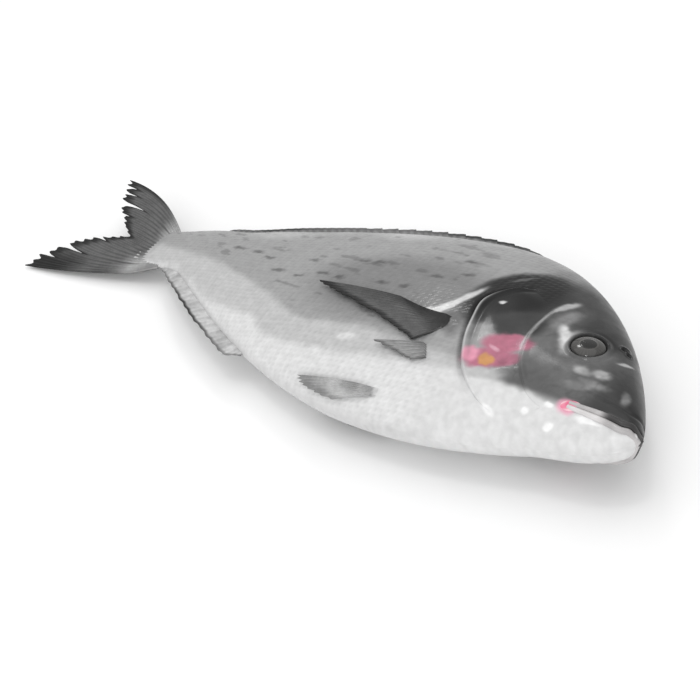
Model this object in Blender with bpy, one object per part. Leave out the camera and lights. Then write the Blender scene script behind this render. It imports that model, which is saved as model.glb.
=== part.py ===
"""Whole raw sea bream lying on its left flank, modelled as one closed solid in metres.

Fish lengths are shares of the standard length, snout to tail root.  Station s runs from
0 at the snout to 1 at the tail root, y is height above the snout line towards the back,
and n is the sideways distance from the middle plane, positive on the upper flank.
"""

import math

import bmesh
import bpy
import numpy as np

# ---- driving dimensions ------------------------------------------------------------
STANDARD_LENGTH = 0.240
SNOUT_LINE_Y = 0.090
TAIL_BEND = 0.019
TAIL_BEND_FROM = 0.45
TAIL_TWIST = 0.191
TAIL_TWIST_FROM = 0.85
TAIL_AXIS_Y = 0.046
BODY_LEAN = 0.024
REST_LEVEL = -0.007
UNDER_SETTLE = 0.08
UNDER_SETTLE_AT = 0.30
UNDER_SETTLE_SPAN = 0.10
BACK_TAPER = 0.06

RING_COUNT = 56
RING_POINTS = 36
RING_SPACING = 1.35

FIN_ROOT_THICKNESS = 0.0085
FIN_EDGE_THICKNESS = 0.0048

DORSAL_FROM, DORSAL_TO = 0.345, 0.885
DORSAL_HEIGHT = 0.033
DORSAL_FALL = 0.35
DORSAL_SPINES = 11
FIN_SINK = 0.018

EYE_AT = (0.134, 0.100)
EYE_RADIUS = 0.031
EYE_BULGE = 0.007
SOCKET_WIDTH = 0.0045
SOCKET_DEPTH = 0.005

NOSTRILS = ((0.088, 0.118, 0.0042), (0.098, 0.124, 0.0055))

MOUTH_CORNER = (0.102, -0.014)
MOUTH_GAPE = 0.0075
MOUTH_REACH = 0.060

GILL_PLATE_RISE = 0.0065
GILL_SLIT_WIDTH = 0.0060
GILL_SLIT_DEPTH = 0.016

PECTORAL_ROOT = (0.318, 0.012)
PECTORAL_TIP = (0.590, 0.052)
PECTORAL_ROOT_WIDTH = 0.052
PECTORAL_THICKNESS = 0.0065
PELVIC_ROOT = (0.372, -0.094)
PELVIC_TIP = (0.520, -0.112)
PELVIC_WIDTH = 0.034

# outline of the body, worked out by back_height, belly_depth, half_width and plane_lift
SNOUT_HALF = 0.006
BACK_PEAK_AT, BACK_PEAK = 0.37, 0.30
BACK_RISE_POWER = 0.9
BACK_FALL, BACK_FALL_LENGTH, BACK_FALL_POWER = 0.16, 0.45, 1.85
BELLY_PEAK_AT, BELLY_PEAK = 0.43, 0.13
BELLY_CLIMB, BELLY_CLIMB_LENGTH, BELLY_CLIMB_POWER = 0.127, 0.45, 1.65
CHIN_DEPTH, CHIN_LENGTH = 0.16, 0.13
STALK_TOP, STALK_TOP_SLOPE, STALK_BOTTOM = 0.086, 0.31, 0.005
STALK_BLEND = 0.008
WIDEST_AT, WIDEST = 0.40, 0.068
WIDTH_RISE_POWER, WIDTH_FALL_POWER = 0.38, 1.35
TAIL_ROOT_WIDTH = 0.009
STALK_END = 1.03
FLANK_LIFT = 0.050
HEAD_LIFT, HEAD_LIFT_LENGTH = 0.049, 0.26
STALK_LIFT, STALK_LIFT_AT, STALK_LIFT_SPAN = 0.005, 0.80, 0.07
TAIL_DROP, TAIL_DROP_FROM, TAIL_DROP_LENGTH = 0.0195, 0.86, 0.17

# tail fin: two lobes, each with a bowed rear edge from its tip to the fork
TAIL_UPPER_TIP, TAIL_UPPER_BOW = (1.20, 0.145), (1.165, 0.075)
TAIL_FORK = (1.08, 0.04)
TAIL_LOWER_TIP, TAIL_LOWER_BOW = (1.247, -0.11), (1.21, 0.005)
TAIL_ROOT = (0.955, 0.071, 0.004)
TAIL_UPPER_PULL = (1.075, 0.16)
TAIL_LOWER_PULL = (1.12, -0.075)
TAIL_RAYS = 24

# free edge of the anal fin: front corner, deepest spot, rear end
ANAL_EDGE = ((0.635, -0.100), (0.665, -0.113), (0.800, -0.066), (0.935, -0.003))

# rear edge of the gill cover, top to bottom
GILL_EDGE = (
    (0.262, 0.176),
    (0.300, 0.150),
    (0.320, 0.112),
    (0.310, 0.066),
    (0.290, 0.018),
    (0.258, -0.026),
    (0.205, -0.058),
    (0.150, -0.058),
)


def smooth_track(stations, column):
    """Function of s through one column of stations, monotone between neighbours."""
    xs = np.array([row[0] for row in stations])
    ys = np.array([row[column] for row in stations])
    steps = np.diff(xs)
    slopes = np.diff(ys) / steps
    tangents = np.zeros(len(xs))
    tangents[0], tangents[-1] = slopes[0], slopes[-1]
    for i in range(1, len(xs) - 1):
        before, after = slopes[i - 1], slopes[i]
        if before * after > 0:
            w1 = 2 * steps[i] + steps[i - 1]
            w2 = steps[i] + 2 * steps[i - 1]
            tangents[i] = (w1 + w2) / (w1 / before + w2 / after)

    def track(s):
        s = min(max(s, xs[0]), xs[-1])
        i = min(int(np.searchsorted(xs, s, side="right")) - 1, len(xs) - 2)
        t = (s - xs[i]) / steps[i]
        a = (1 + 2 * t) * (1 - t) ** 2 * ys[i] + t * (1 - t) ** 2 * steps[i] * tangents[i]
        b = t * t * (3 - 2 * t) * ys[i + 1] - t * t * (1 - t) * steps[i] * tangents[i + 1]
        return a + b

    return track


def rise(s, length, power):
    """Share of a blunt parabola climbed at s: 0 at the snout, 1 from its length on."""
    ahead = 1 - min(max(s / length, 0.0), 1.0)
    return (1 - ahead * ahead) ** power


def fall(s, start, length, power):
    """Share of a bend passed behind its start, 1 at its length and more beyond."""
    return max((s - start) / length, 0.0) ** power


def back_height(s):
    """Height of the back: a blunt parabola, a falling arc, then the straight tail stalk."""
    s = min(s, STALK_END)
    body = SNOUT_HALF + (BACK_PEAK - SNOUT_HALF) * rise(s, BACK_PEAK_AT, BACK_RISE_POWER)
    if s <= BACK_PEAK_AT:
        return body
    body -= BACK_FALL * fall(s, BACK_PEAK_AT, BACK_FALL_LENGTH, BACK_FALL_POWER)
    stalk = STALK_TOP + STALK_TOP_SLOPE * max(1 - s, 0.0)
    blend = STALK_BLEND * min((s - BACK_PEAK_AT) / BACK_FALL_LENGTH, 1.0)
    return (body + stalk + math.hypot(body - stalk, blend)) / 2


def belly_depth(s):
    """Height of the belly: a chin on a parabola, a climbing arc, then the tail stalk."""
    s = min(s, STALK_END)
    chin = CHIN_DEPTH * math.sqrt(max(s, 0.0)) * max(1 - s / CHIN_LENGTH, 0.0) ** 1.5
    body = -SNOUT_HALF - (BELLY_PEAK - SNOUT_HALF) * rise(s, BELLY_PEAK_AT, 1.0) - chin
    body += BELLY_CLIMB * fall(s, BELLY_PEAK_AT, BELLY_CLIMB_LENGTH, BELLY_CLIMB_POWER)
    return (body + STALK_BOTTOM - math.hypot(body - STALK_BOTTOM, STALK_BLEND)) / 2


def half_width(s):
    """Half width of the body, widest behind the head."""
    s = min(s, STALK_END)
    front = SNOUT_HALF + (WIDEST - SNOUT_HALF) * rise(s, WIDEST_AT, WIDTH_RISE_POWER)
    rear = (WIDEST - TAIL_ROOT_WIDTH) * fall(s, WIDEST_AT, 1 - WIDEST_AT, WIDTH_FALL_POWER)
    return front - rear


def plane_lift(s):
    """Height of the middle plane above the rest: head up, stalk arched, tail down."""
    head = HEAD_LIFT * math.exp(-s / HEAD_LIFT_LENGTH)
    stalk = STALK_LIFT * math.exp(-(((s - STALK_LIFT_AT) / STALK_LIFT_SPAN) ** 2))
    t = min(max((s - TAIL_DROP_FROM) / TAIL_DROP_LENGTH, 0.0), 1.0)
    return FLANK_LIFT + head + stalk - TAIL_DROP * t * t * (3 - 2 * t)


def place(s, y, n):
    """World point of a fish point, before the origin is moved under the middle."""
    run = max(0.0, (s - TAIL_BEND_FROM) / (1 - TAIL_BEND_FROM))
    height = y - SNOUT_LINE_Y + TAIL_BEND * run**2
    axis = TAIL_AXIS_Y - SNOUT_LINE_Y + TAIL_BEND * run**2
    share = min(max((s - TAIL_TWIST_FROM) / (1 - TAIL_TWIST_FROM), 0.0), 1.0)
    angle = TAIL_TWIST * share
    up = axis + (height - axis) * math.cos(angle) - n * math.sin(angle)
    out = (height - axis) * math.sin(angle) + n * math.cos(angle)
    rise = out + plane_lift(s) + BODY_LEAN * up
    return (
        (0.5 - s) * STANDARD_LENGTH,
        up * STANDARD_LENGTH,
        rise * STANDARD_LENGTH,
    )


def flank_width(s, side):
    """Half width on one side; the under side is a little fuller where it bears."""
    width = half_width(s)
    if side < 0:
        reach = (s - UNDER_SETTLE_AT) / UNDER_SETTLE_SPAN
        width *= 1 + UNDER_SETTLE * math.exp(-reach * reach)
    return width


def section_point(s, angle):
    """(y, n) of the skin at an angle round the section, 0 at the back."""
    top, bottom = back_height(s), belly_depth(s)
    middle, half = (top + bottom) / 2, (top - bottom) / 2
    side = 1 if math.sin(angle) >= 0 else -1
    width = flank_width(s, side) * (1 - BACK_TAPER * math.cos(angle))
    return middle + half * math.cos(angle), width * math.sin(angle)


def skin_out(s, y, side):
    """Distance of the skin from the middle plane at station s and height y."""
    top, bottom = back_height(s), belly_depth(s)
    middle, half = (top + bottom) / 2, (top - bottom) / 2
    share = min(max((y - middle) / half, -0.995), 0.995)
    width = flank_width(s, side) * (1 - BACK_TAPER * share)
    return width * math.sqrt(1 - share * share)


def closed_body(name, points, faces, collection):
    """Object from points and faces, with its normals turned outward."""
    mesh = bpy.data.meshes.new(name)
    mesh.from_pydata(points, [], faces)
    shape = bmesh.new()
    shape.from_mesh(mesh)
    bmesh.ops.remove_doubles(shape, verts=shape.verts, dist=1e-6)
    bmesh.ops.triangulate(shape, faces=[f for f in shape.faces if len(f.verts) > 4])
    bmesh.ops.recalc_face_normals(shape, faces=shape.faces)
    if shape.calc_volume(signed=True) < 0:
        bmesh.ops.reverse_faces(shape, faces=shape.faces)
    shape.to_mesh(mesh)
    shape.free()
    body = bpy.data.objects.new(name, mesh)
    collection.objects.link(body)
    return body


def trunk_rings():
    """Rings of world points round the head and trunk, snout first."""
    rings = []
    for i in range(RING_COUNT):
        t = (i + 0.6) / (RING_COUNT - 0.4)
        s = 1.03 * t**RING_SPACING
        ring = []
        for k in range(RING_POINTS):
            y, n = section_point(s, 2 * math.pi * k / RING_POINTS)
            ring.append(place(s, y, n))
        rings.append(ring)
    return rings


def build_trunk(collection):
    """Head and trunk as one loft closed by a snout point and a flat tail end."""
    rings = trunk_rings()
    points = [p for ring in rings for p in ring]
    faces = []
    for i in range(len(rings) - 1):
        for k in range(RING_POINTS):
            m = (k + 1) % RING_POINTS
            a, b = i * RING_POINTS, (i + 1) * RING_POINTS
            faces.append((a + k, a + m, b + m, b + k))
    snout = len(points)
    points.append(place(-0.002, 0.0, 0.0))
    for k in range(RING_POINTS):
        faces.append((snout, (k + 1) % RING_POINTS, k))
    last = (len(rings) - 1) * RING_POINTS
    faces.append(tuple(range(last, last + RING_POINTS)))
    return closed_body("fish", points, faces, collection)


def plate_from_grid(name, grid, collection):
    """Closed plate from rows of (lower point, upper point) pairs."""
    rows, columns = len(grid), len(grid[0])
    points = [pair[0] for row in grid for pair in row]
    points += [pair[1] for row in grid for pair in row]
    offset = rows * columns
    faces = []
    for i in range(rows - 1):
        for k in range(columns - 1):
            a, b = i * columns + k, (i + 1) * columns + k
            faces.append((a, b, b + 1, a + 1))
            faces.append((a + offset, a + 1 + offset, b + 1 + offset, b + offset))
    rim = [(0, k) for k in range(columns)]
    rim += [(i, columns - 1) for i in range(1, rows)]
    rim += [(rows - 1, k) for k in range(columns - 2, -1, -1)]
    rim += [(i, 0) for i in range(rows - 2, 0, -1)]
    for j, (i, k) in enumerate(rim):
        i2, k2 = rim[(j + 1) % len(rim)]
        a, b = i * columns + k, i2 * columns + k2
        faces.append((a, a + offset, b + offset, b))
    return closed_body(name, points, faces, collection)


def middle_fin(name, start, end, root, edge, steps, collection):
    """Thin fin standing in the middle plane, from root(s) to edge(s)."""
    grid = []
    for i in range(steps + 1):
        s = start + (end - start) * i / steps
        row = []
        for j in range(3):
            t = j / 2
            thick = FIN_ROOT_THICKNESS + (FIN_EDGE_THICKNESS - FIN_ROOT_THICKNESS) * t
            y = root(s) + (edge(s) - root(s)) * t
            row.append((place(s, y, -thick / 2), place(s, y, thick / 2)))
        grid.append(row)
    return plate_from_grid(name, grid, collection)


def build_dorsal_fin(collection):
    """Folded dorsal fin: low ridge with the tips of its spines showing."""

    def edge(s):
        """Height of the fin's free edge at station s."""
        share = (s - DORSAL_FROM) / (DORSAL_TO - DORSAL_FROM)
        swell = math.sin(math.pi * min(max(share, 0.0), 1.0)) ** 0.35
        teeth = 1.0
        if share < 0.55:
            teeth = 1 - 0.22 * ((share / 0.55 * DORSAL_SPINES) % 1.0)
        height = DORSAL_HEIGHT * (1 - DORSAL_FALL * min(max(share, 0.0), 1.0))
        return back_height(s) + max(height * swell * teeth, 0.002)

    def root(s):
        return back_height(s) - FIN_SINK

    return middle_fin("dorsal_fin", DORSAL_FROM, DORSAL_TO, root, edge, 44, collection)


def build_anal_fin(collection):
    """Anal fin laid back along the belly line, its last rays under the tail root."""
    free_edge = smooth_track(ANAL_EDGE, 1)

    def edge(s):
        return min(free_edge(s), belly_depth(s) - 0.002)

    def root(s):
        return belly_depth(s) + FIN_SINK

    return middle_fin("anal_fin", ANAL_EDGE[0][0], ANAL_EDGE[-1][0], root, edge, 30, collection)


def bezier(start, pull, end, t):
    """Point on a quadratic curve between two plane points."""
    u = 1 - t
    return tuple(u * u * a + 2 * t * u * b + t * t * c for a, b, c in zip(start, pull, end))


def tail_edge(share):
    """Spot on the rear edge of the tail, from the upper tip by the fork to the lower tip."""
    if share < 0.5:
        return bezier(TAIL_UPPER_TIP, TAIL_UPPER_BOW, TAIL_FORK, 2 * share)
    return bezier(TAIL_FORK, TAIL_LOWER_BOW, TAIL_LOWER_TIP, 2 * share - 1)


def build_tail_fin(collection):
    """Forked tail fin with a worn rear edge, fanned out from the tail root."""
    root_s, root_top, root_bottom = TAIL_ROOT
    steps = 10
    grid = []
    for i in range(TAIL_RAYS + 1):
        share = i / TAIL_RAYS
        end = tail_edge(share)
        start = (root_s, root_top + (root_bottom - root_top) * share)
        straight = tuple((a + b) / 2 for a, b in zip(start, end))
        pull = TAIL_UPPER_PULL if share < 0.5 else TAIL_LOWER_PULL
        weight = abs(2 * share - 1) ** 1.5
        bent = tuple(a + (b - a) * weight for a, b in zip(straight, pull))
        row = []
        for k in range(steps + 1):
            t = k / steps
            s, y = bezier(start, bent, end, t)
            thick = 0.013 + (FIN_EDGE_THICKNESS - 0.013) * min(1.0, t * 2.2)
            row.append((place(s, y, -thick / 2), place(s, y, thick / 2)))
        grid.append(row)
    return plate_from_grid("tail_fin", grid, collection)


def blade_half(t, width, point):
    """Half breadth of a folded fin at share t of its length."""
    shoulder = math.sqrt(min(1.0, 0.18 + t / 0.14))
    taper = max((1 - t) ** point, 0.08)
    return width / 2 * shoulder * taper * (1 + 0.25 * math.sin(math.pi * t))


def blade(name, root, tip, width, side, lift, collection, bow=0.0, point=0.9):
    """Paired fin lying back along one flank, pointed at its tip."""
    steps, across = 16, 6
    along = (tip[0] - root[0], tip[1] - root[1])
    length = math.hypot(*along)
    across_dir = (-along[1] / length, along[0] / length)
    grid = []
    for i in range(steps + 1):
        t = i / steps
        half = blade_half(t, width, point)
        rise = lift * min(1.0, 0.15 + t / 0.12) * (1 - 0.35 * t)
        row = []
        for k in range(across + 1):
            v = 2 * k / across - 1
            s = root[0] + along[0] * t + across_dir[0] * half * v
            y = root[1] + along[1] * t + across_dir[1] * half * v
            y += bow * math.sin(math.pi * t)
            base = skin_out(s, y, side)
            high = base + rise * (1 - 0.45 * v * v)
            low = base - 0.010
            pair = (place(s, y, side * low), place(s, y, side * high))
            row.append(pair if side > 0 else (pair[1], pair[0]))
        grid.append(row)
    return plate_from_grid(name, grid, collection)


def build_pectoral_fins(collection):
    """Long pointed pectoral fins folded back, one on each flank."""
    fins = []
    for side, name in ((1, "pectoral_fin_upper"), (-1, "pectoral_fin_under")):
        fins.append(
            blade(
                name,
                PECTORAL_ROOT,
                PECTORAL_TIP,
                PECTORAL_ROOT_WIDTH,
                side,
                PECTORAL_THICKNESS,
                collection,
                bow=0.004,
                point=0.75,
            )
        )
    return fins


def build_pelvic_fins(collection):
    """Short pelvic fins folded against the belly behind the throat."""
    fins = []
    for side, name in ((1, "pelvic_fin_upper"), (-1, "pelvic_fin_under")):
        fins.append(
            blade(
                name,
                PELVIC_ROOT,
                PELVIC_TIP,
                PELVIC_WIDTH,
                side,
                PECTORAL_THICKNESS,
                collection,
                bow=-0.006,
            )
        )
    return fins


def gill_edge_point(t):
    """Point along the rear edge of the gill cover, 0 at its top."""
    spot = t * (len(GILL_EDGE) - 1)
    i = min(int(spot), len(GILL_EDGE) - 2)
    f = spot - i
    a = GILL_EDGE[max(i - 1, 0)]
    b, c = GILL_EDGE[i], GILL_EDGE[i + 1]
    d = GILL_EDGE[min(i + 2, len(GILL_EDGE) - 1)]
    return tuple(
        0.5
        * (
            2 * q
            + (r - p) * f
            + (2 * p - 5 * q + 4 * r - u) * f * f
            + (3 * q - p - 3 * r + u) * f**3
        )
        for p, q, r, u in zip(a, b, c, d)
    )


def build_gill_cover(name, side, collection):
    """Raised cover plate whose front edge fades into the cheek."""
    steps, depth = 20, 4
    front = (0.190, 0.060)
    grid = []
    for i in range(steps + 1):
        t = i / steps
        edge = gill_edge_point(t)
        row = []
        for k in range(depth + 1):
            f = k / depth
            reach = 0.55 * (1 - f)
            s = edge[0] + (front[0] - edge[0]) * reach
            y = edge[1] + (front[1] - edge[1]) * reach
            base = skin_out(s, y, side)
            fade = math.sin(math.pi * t) ** 0.4 if 0 < t < 1 else 0.0
            rise = GILL_PLATE_RISE * f * fade - 0.0040 * (1 - f) - 0.0006
            pair = (place(s, y, side * (base - 0.014)), place(s, y, side * (base + rise)))
            row.append(pair if side > 0 else (pair[1], pair[0]))
        grid.append(row)
    return plate_from_grid(name, grid, collection)


def build_gill_slit(name, side, collection):
    """Narrow cutter that opens the slit along the rear edge of the gill cover."""
    steps = 22
    grid = []
    for i in range(steps + 1):
        t = 0.10 + 0.80 * i / steps
        edge = gill_edge_point(t)
        ahead, behind = gill_edge_point(min(t + 0.02, 1)), gill_edge_point(max(t - 0.02, 0))
        run = (ahead[0] - behind[0], ahead[1] - behind[1])
        length = math.hypot(*run)
        normal = (-run[1] / length, run[0] / length)
        if normal[0] < 0:
            normal = (-normal[0], -normal[1])
        row = []
        for f in (0.0, 1.0):
            s = edge[0] + normal[0] * GILL_SLIT_WIDTH * f
            y = edge[1] + normal[1] * GILL_SLIT_WIDTH * f
            base = skin_out(s, y, side)
            low = base - GILL_SLIT_DEPTH * math.sin(math.pi * (0.06 + 0.88 * i / steps))
            pair = (place(s, y, side * low), place(s, y, side * (base + 0.02)))
            row.append(pair if side > 0 else (pair[1], pair[0]))
        grid.append(row)
    return plate_from_grid(name, grid, collection)


def build_mouth_cut(collection):
    """Thin wedge cutter that parts the lips from the snout back to the mouth corners."""
    grid = []
    for i in range(13):
        t = i / 12
        s = -0.03 + (MOUTH_CORNER[0] + 0.03) * t
        back = max(0.0, s / MOUTH_CORNER[0]) ** 0.8
        middle = 0.002 + (MOUTH_CORNER[1] - 0.002) * back
        gape = MOUTH_GAPE * (1 - 0.72 * t)
        row = []
        for k in range(5):
            n = MOUTH_REACH * (k / 2 - 1)
            row.append((place(s, middle - gape / 2, n), place(s, middle + gape / 2, n)))
        grid.append(row)
    return plate_from_grid("mouth_cutter", grid, collection)


def ball(name, centre, radii, side, collection, segments=24, rings=10):
    """Flattened ball in the flank's own directions, used for eyes and pits."""
    points, faces = [], []
    s0, y0 = centre
    n0 = skin_out(s0, y0, side)
    for i in range(1, rings):
        lat = math.pi * i / rings
        for k in range(segments):
            lon = 2 * math.pi * k / segments
            s = s0 + radii[0] * math.sin(lat) * math.cos(lon)
            y = y0 + radii[0] * math.sin(lat) * math.sin(lon)
            n = side * (n0 + radii[2] + radii[1] * math.cos(lat))
            points.append(place(s, y, n))
    top, bottom = len(points), len(points) + 1
    points.append(place(s0, y0, side * (n0 + radii[2] + radii[1])))
    points.append(place(s0, y0, side * (n0 + radii[2] - radii[1])))
    for i in range(rings - 2):
        for k in range(segments):
            m = (k + 1) % segments
            a, b = i * segments, (i + 1) * segments
            faces.append((a + k, a + m, b + m, b + k))
    for k in range(segments):
        m = (k + 1) % segments
        faces.append((top, m, k))
        last = (rings - 2) * segments
        faces.append((bottom, last + k, last + m))
    return closed_body(name, points, faces, collection)


def build_rest_cut(collection):
    """Slab that trims the under flank to a small flat resting patch."""
    size = STANDARD_LENGTH
    top = REST_LEVEL * size
    low = top - 0.2 * size
    corners = [(x * size, y * size, z) for z in (low, top) for y in (-1, 1) for x in (-1, 1)]
    faces = [(0, 1, 3, 2), (4, 5, 7, 6), (0, 1, 5, 4), (2, 3, 7, 6), (0, 2, 6, 4), (1, 3, 7, 5)]
    return closed_body("rest_cutter", corners, faces, collection)


def apply_boolean(body, other, operation):
    """Join or cut with the exact solver and keep the result as plain mesh."""
    step = body.modifiers.new(other.name, "BOOLEAN")
    step.operation = operation
    step.solver = "EXACT"
    step.object = other
    step.show_render = step.show_viewport


def bake(body):
    """Replace the object's mesh with its evaluated one and drop the modifiers."""
    graph = bpy.context.evaluated_depsgraph_get()
    graph.update()
    mesh = bpy.data.meshes.new_from_object(body.evaluated_get(graph))
    body.modifiers.clear()
    body.data = mesh


def raw_skin():
    """Wet silver skin material of the fish."""
    skin = bpy.data.materials.new("wet_skin")
    skin.use_nodes = True
    shader = skin.node_tree.nodes["Principled BSDF"]
    shader.inputs["Base Color"].default_value = (0.36, 0.36, 0.36, 1)
    shader.inputs["Roughness"].default_value = 0.32
    shader.inputs["Metallic"].default_value = 0.15
    return skin


def settle_origin(body):
    """Move the mesh so its box is centred over the origin and rests at z = 0."""
    points = np.array([v.co[:] for v in body.data.vertices])
    low, high = points.min(axis=0), points.max(axis=0)
    shift = (-(low[0] + high[0]) / 2, -(low[1] + high[1]) / 2, -low[2])
    for vertex in body.data.vertices:
        vertex.co = [c + d for c, d in zip(vertex.co, shift)]
    print("origin shift, m:", [round(float(v), 6) for v in shift])


def main():
    for item in list(bpy.data.objects):
        bpy.data.objects.remove(item, do_unlink=True)
    fish = bpy.data.collections.new("raw_sea_bream")
    helpers = bpy.data.collections.new("cutters")
    bpy.context.scene.collection.children.link(fish)
    bpy.context.scene.collection.children.link(helpers)

    body = build_trunk(fish)
    joined = [build_dorsal_fin(helpers), build_anal_fin(helpers), build_tail_fin(helpers)]
    joined += build_pectoral_fins(helpers) + build_pelvic_fins(helpers)
    cut = []
    for side, name in ((1, "upper"), (-1, "under")):
        joined.append(build_gill_cover("gill_cover_" + name, side, helpers))
        cut.append(build_gill_slit("gill_slit_" + name, side, helpers))
        rim = EYE_RADIUS + SOCKET_WIDTH
        cut.append(ball("socket_" + name, EYE_AT, (rim, SOCKET_DEPTH, 0.0), side, helpers))
        for j, (s, y, radius) in enumerate(NOSTRILS):
            pit = (radius, 0.008, 0.0)
            cut.append(ball(f"nostril_{name}_{j}", (s, y), pit, side, helpers, 12, 6))
    cut.append(build_mouth_cut(helpers))

    for other in joined:
        apply_boolean(body, other, "UNION")
    for other in cut:
        apply_boolean(body, other, "DIFFERENCE")
    for side, name in ((1, "upper"), (-1, "under")):
        depth = EYE_BULGE + SOCKET_DEPTH * 1.6
        radii = (EYE_RADIUS, depth, -SOCKET_DEPTH * 1.2)
        eye = ball("eye_" + name, EYE_AT, radii, side, helpers)
        apply_boolean(body, eye, "UNION")
    apply_boolean(body, build_rest_cut(helpers), "DIFFERENCE")
    bake(body)
    settle_origin(body)
    body.data.materials.clear()
    body.data.materials.append(raw_skin())
    for helper in helpers.objects:
        helper.hide_render = True
        helper.display_type = "WIRE"


main()
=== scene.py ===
"""Whole raw sea bream on a plain pale floor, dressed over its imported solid.

Every shape is worked out in fish terms: station s runs from 0 at the snout to 1 at the
tail root, y is the height towards the back, and n the distance from the middle plane,
all as shares of the standard length.  FishForm turns them into metres in the frame.
"""

import logging
import math
from dataclasses import dataclass, field
from enum import Enum
from typing import Callable, Sequence

import bmesh
import bpy
import numpy as np
from mathutils import Matrix, Vector


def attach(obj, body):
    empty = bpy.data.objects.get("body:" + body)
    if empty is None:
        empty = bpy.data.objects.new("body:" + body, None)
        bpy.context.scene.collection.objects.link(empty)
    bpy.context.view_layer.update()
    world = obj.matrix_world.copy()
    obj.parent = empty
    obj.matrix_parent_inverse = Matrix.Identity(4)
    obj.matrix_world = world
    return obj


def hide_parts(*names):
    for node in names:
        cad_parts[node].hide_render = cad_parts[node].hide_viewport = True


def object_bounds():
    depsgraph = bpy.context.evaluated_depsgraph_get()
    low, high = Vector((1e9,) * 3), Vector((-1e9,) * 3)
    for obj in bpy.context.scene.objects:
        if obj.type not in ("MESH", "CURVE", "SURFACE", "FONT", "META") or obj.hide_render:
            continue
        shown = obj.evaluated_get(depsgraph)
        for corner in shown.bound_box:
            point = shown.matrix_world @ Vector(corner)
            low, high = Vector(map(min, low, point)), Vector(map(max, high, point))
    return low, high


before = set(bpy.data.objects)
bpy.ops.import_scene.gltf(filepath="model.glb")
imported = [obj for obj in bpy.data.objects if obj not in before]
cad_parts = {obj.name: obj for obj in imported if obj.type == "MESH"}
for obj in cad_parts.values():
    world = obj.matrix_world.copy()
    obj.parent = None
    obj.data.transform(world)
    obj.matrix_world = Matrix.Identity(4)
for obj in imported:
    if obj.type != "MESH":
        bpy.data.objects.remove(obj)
CAD_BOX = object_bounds()

LOG = logging.getLogger("sea_bream")
NODE = "fish"
BODY = "root"
TINT = "tint"

FIN_EXPOSURE = 0.78
FIN_WANDER = 0.14
Array = np.ndarray
Place = tuple[float, float]
Colour = tuple[float, float, float]


class Flank(Enum):
    """The two sides of the fish: right faces up, left lies on the floor."""

    RIGHT = 1
    LEFT = -1

    @property
    def tag(self) -> str:
        """Lower-case word used in piece names."""
        return self.name.lower()


# ---- small tools -------------------------------------------------------------------


def ease(x: Array, low: float, high: float) -> Array:
    """Smooth step from 0 at low to 1 at high.

    Args:
        x: Values to grade.
        low: Value that gives 0.
        high: Value that gives 1.

    Returns:
        The graded values.
    """
    t = np.clip((np.asarray(x, float) - low) / (high - low), 0.0, 1.0)
    return t * t * (3 - 2 * t)


def value_noise(points: Array, cell: float, seed: int) -> Array:
    """Smooth random field between 0 and 1, the same each run.

    Args:
        points: Positions, with three coordinates last.
        cell: Size of one random cell in the same unit.
        seed: Number that picks the field.

    Returns:
        One value per position.
    """
    q = np.asarray(points, float) / cell
    base = np.floor(q).astype(np.int64)
    f = q - base
    f = f * f * (3 - 2 * f)
    total = np.zeros(q.shape[:-1])
    for corner in range(8):
        step = np.array([corner & 1, (corner >> 1) & 1, (corner >> 2) & 1])
        cellno = base + step
        code = cellno[..., 0] * 374761393 + cellno[..., 1] * 668265263
        code = code + cellno[..., 2] * 1440662683 + seed * 1274126177
        code = (code ^ (code >> 13)) * 1274126177
        code = (code ^ (code >> 16)) & 0xFFFF
        weight = np.prod(np.where(step, f, 1 - f), axis=-1)
        total += weight * code / 65535.0
    return total


def layered_noise(points: Array, cell: float, seed: int, layers: int = 3) -> Array:
    """Sum of value noises at halving cell sizes, between -1 and 1.

    Args:
        points: Positions, with three coordinates last.
        cell: Size of the largest cell.
        seed: Number that picks the field.
        layers: How many sizes are added.

    Returns:
        One value per position.
    """
    total, weight = 0.0, 0.0
    for i in range(layers):
        share = 0.55**i
        total = total + share * (2 * value_noise(points, cell / 2**i, seed + i) - 1)
        weight += share
    return total / weight


def to_linear(grey: Array) -> Array:
    """Linear light of display values between 0 and 1."""
    grey = np.clip(grey, 0.0, 1.0)
    return np.where(grey <= 0.04045, grey / 12.92, ((grey + 0.055) / 1.055) ** 2.4)


class Track:
    """Monotone smooth curve through stations, read for many values at once."""

    def __init__(self, xs: Sequence[float], ys: Sequence[float]) -> None:
        """Fit the curve.

        Args:
            xs: Rising station positions.
            ys: Values at the stations.
        """
        self.xs = np.asarray(xs, float)
        self.ys = np.asarray(ys, float)
        self.steps = np.diff(self.xs)
        slopes = np.diff(self.ys) / self.steps
        self.tangents = np.zeros(len(self.xs))
        self.tangents[0], self.tangents[-1] = slopes[0], slopes[-1]
        for i in range(1, len(self.xs) - 1):
            before, after = slopes[i - 1], slopes[i]
            if before * after > 0:
                w1 = 2 * self.steps[i] + self.steps[i - 1]
                w2 = self.steps[i] + 2 * self.steps[i - 1]
                self.tangents[i] = (w1 + w2) / (w1 / before + w2 / after)

    def __call__(self, s: Array) -> Array:
        """Value of the curve at each s."""
        s = np.clip(np.asarray(s, float), self.xs[0], self.xs[-1])
        i = np.clip(np.searchsorted(self.xs, s, side="right") - 1, 0, len(self.xs) - 2)
        h = self.steps[i]
        t = (s - self.xs[i]) / h
        a = (1 + 2 * t) * (1 - t) ** 2 * self.ys[i] + t * (1 - t) ** 2 * h * self.tangents[i]
        b = t * t * (3 - 2 * t) * self.ys[i + 1]
        return a + b - t * t * (1 - t) * h * self.tangents[i + 1]


# ---- the form of the fish -----------------------------------------------------------


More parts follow.
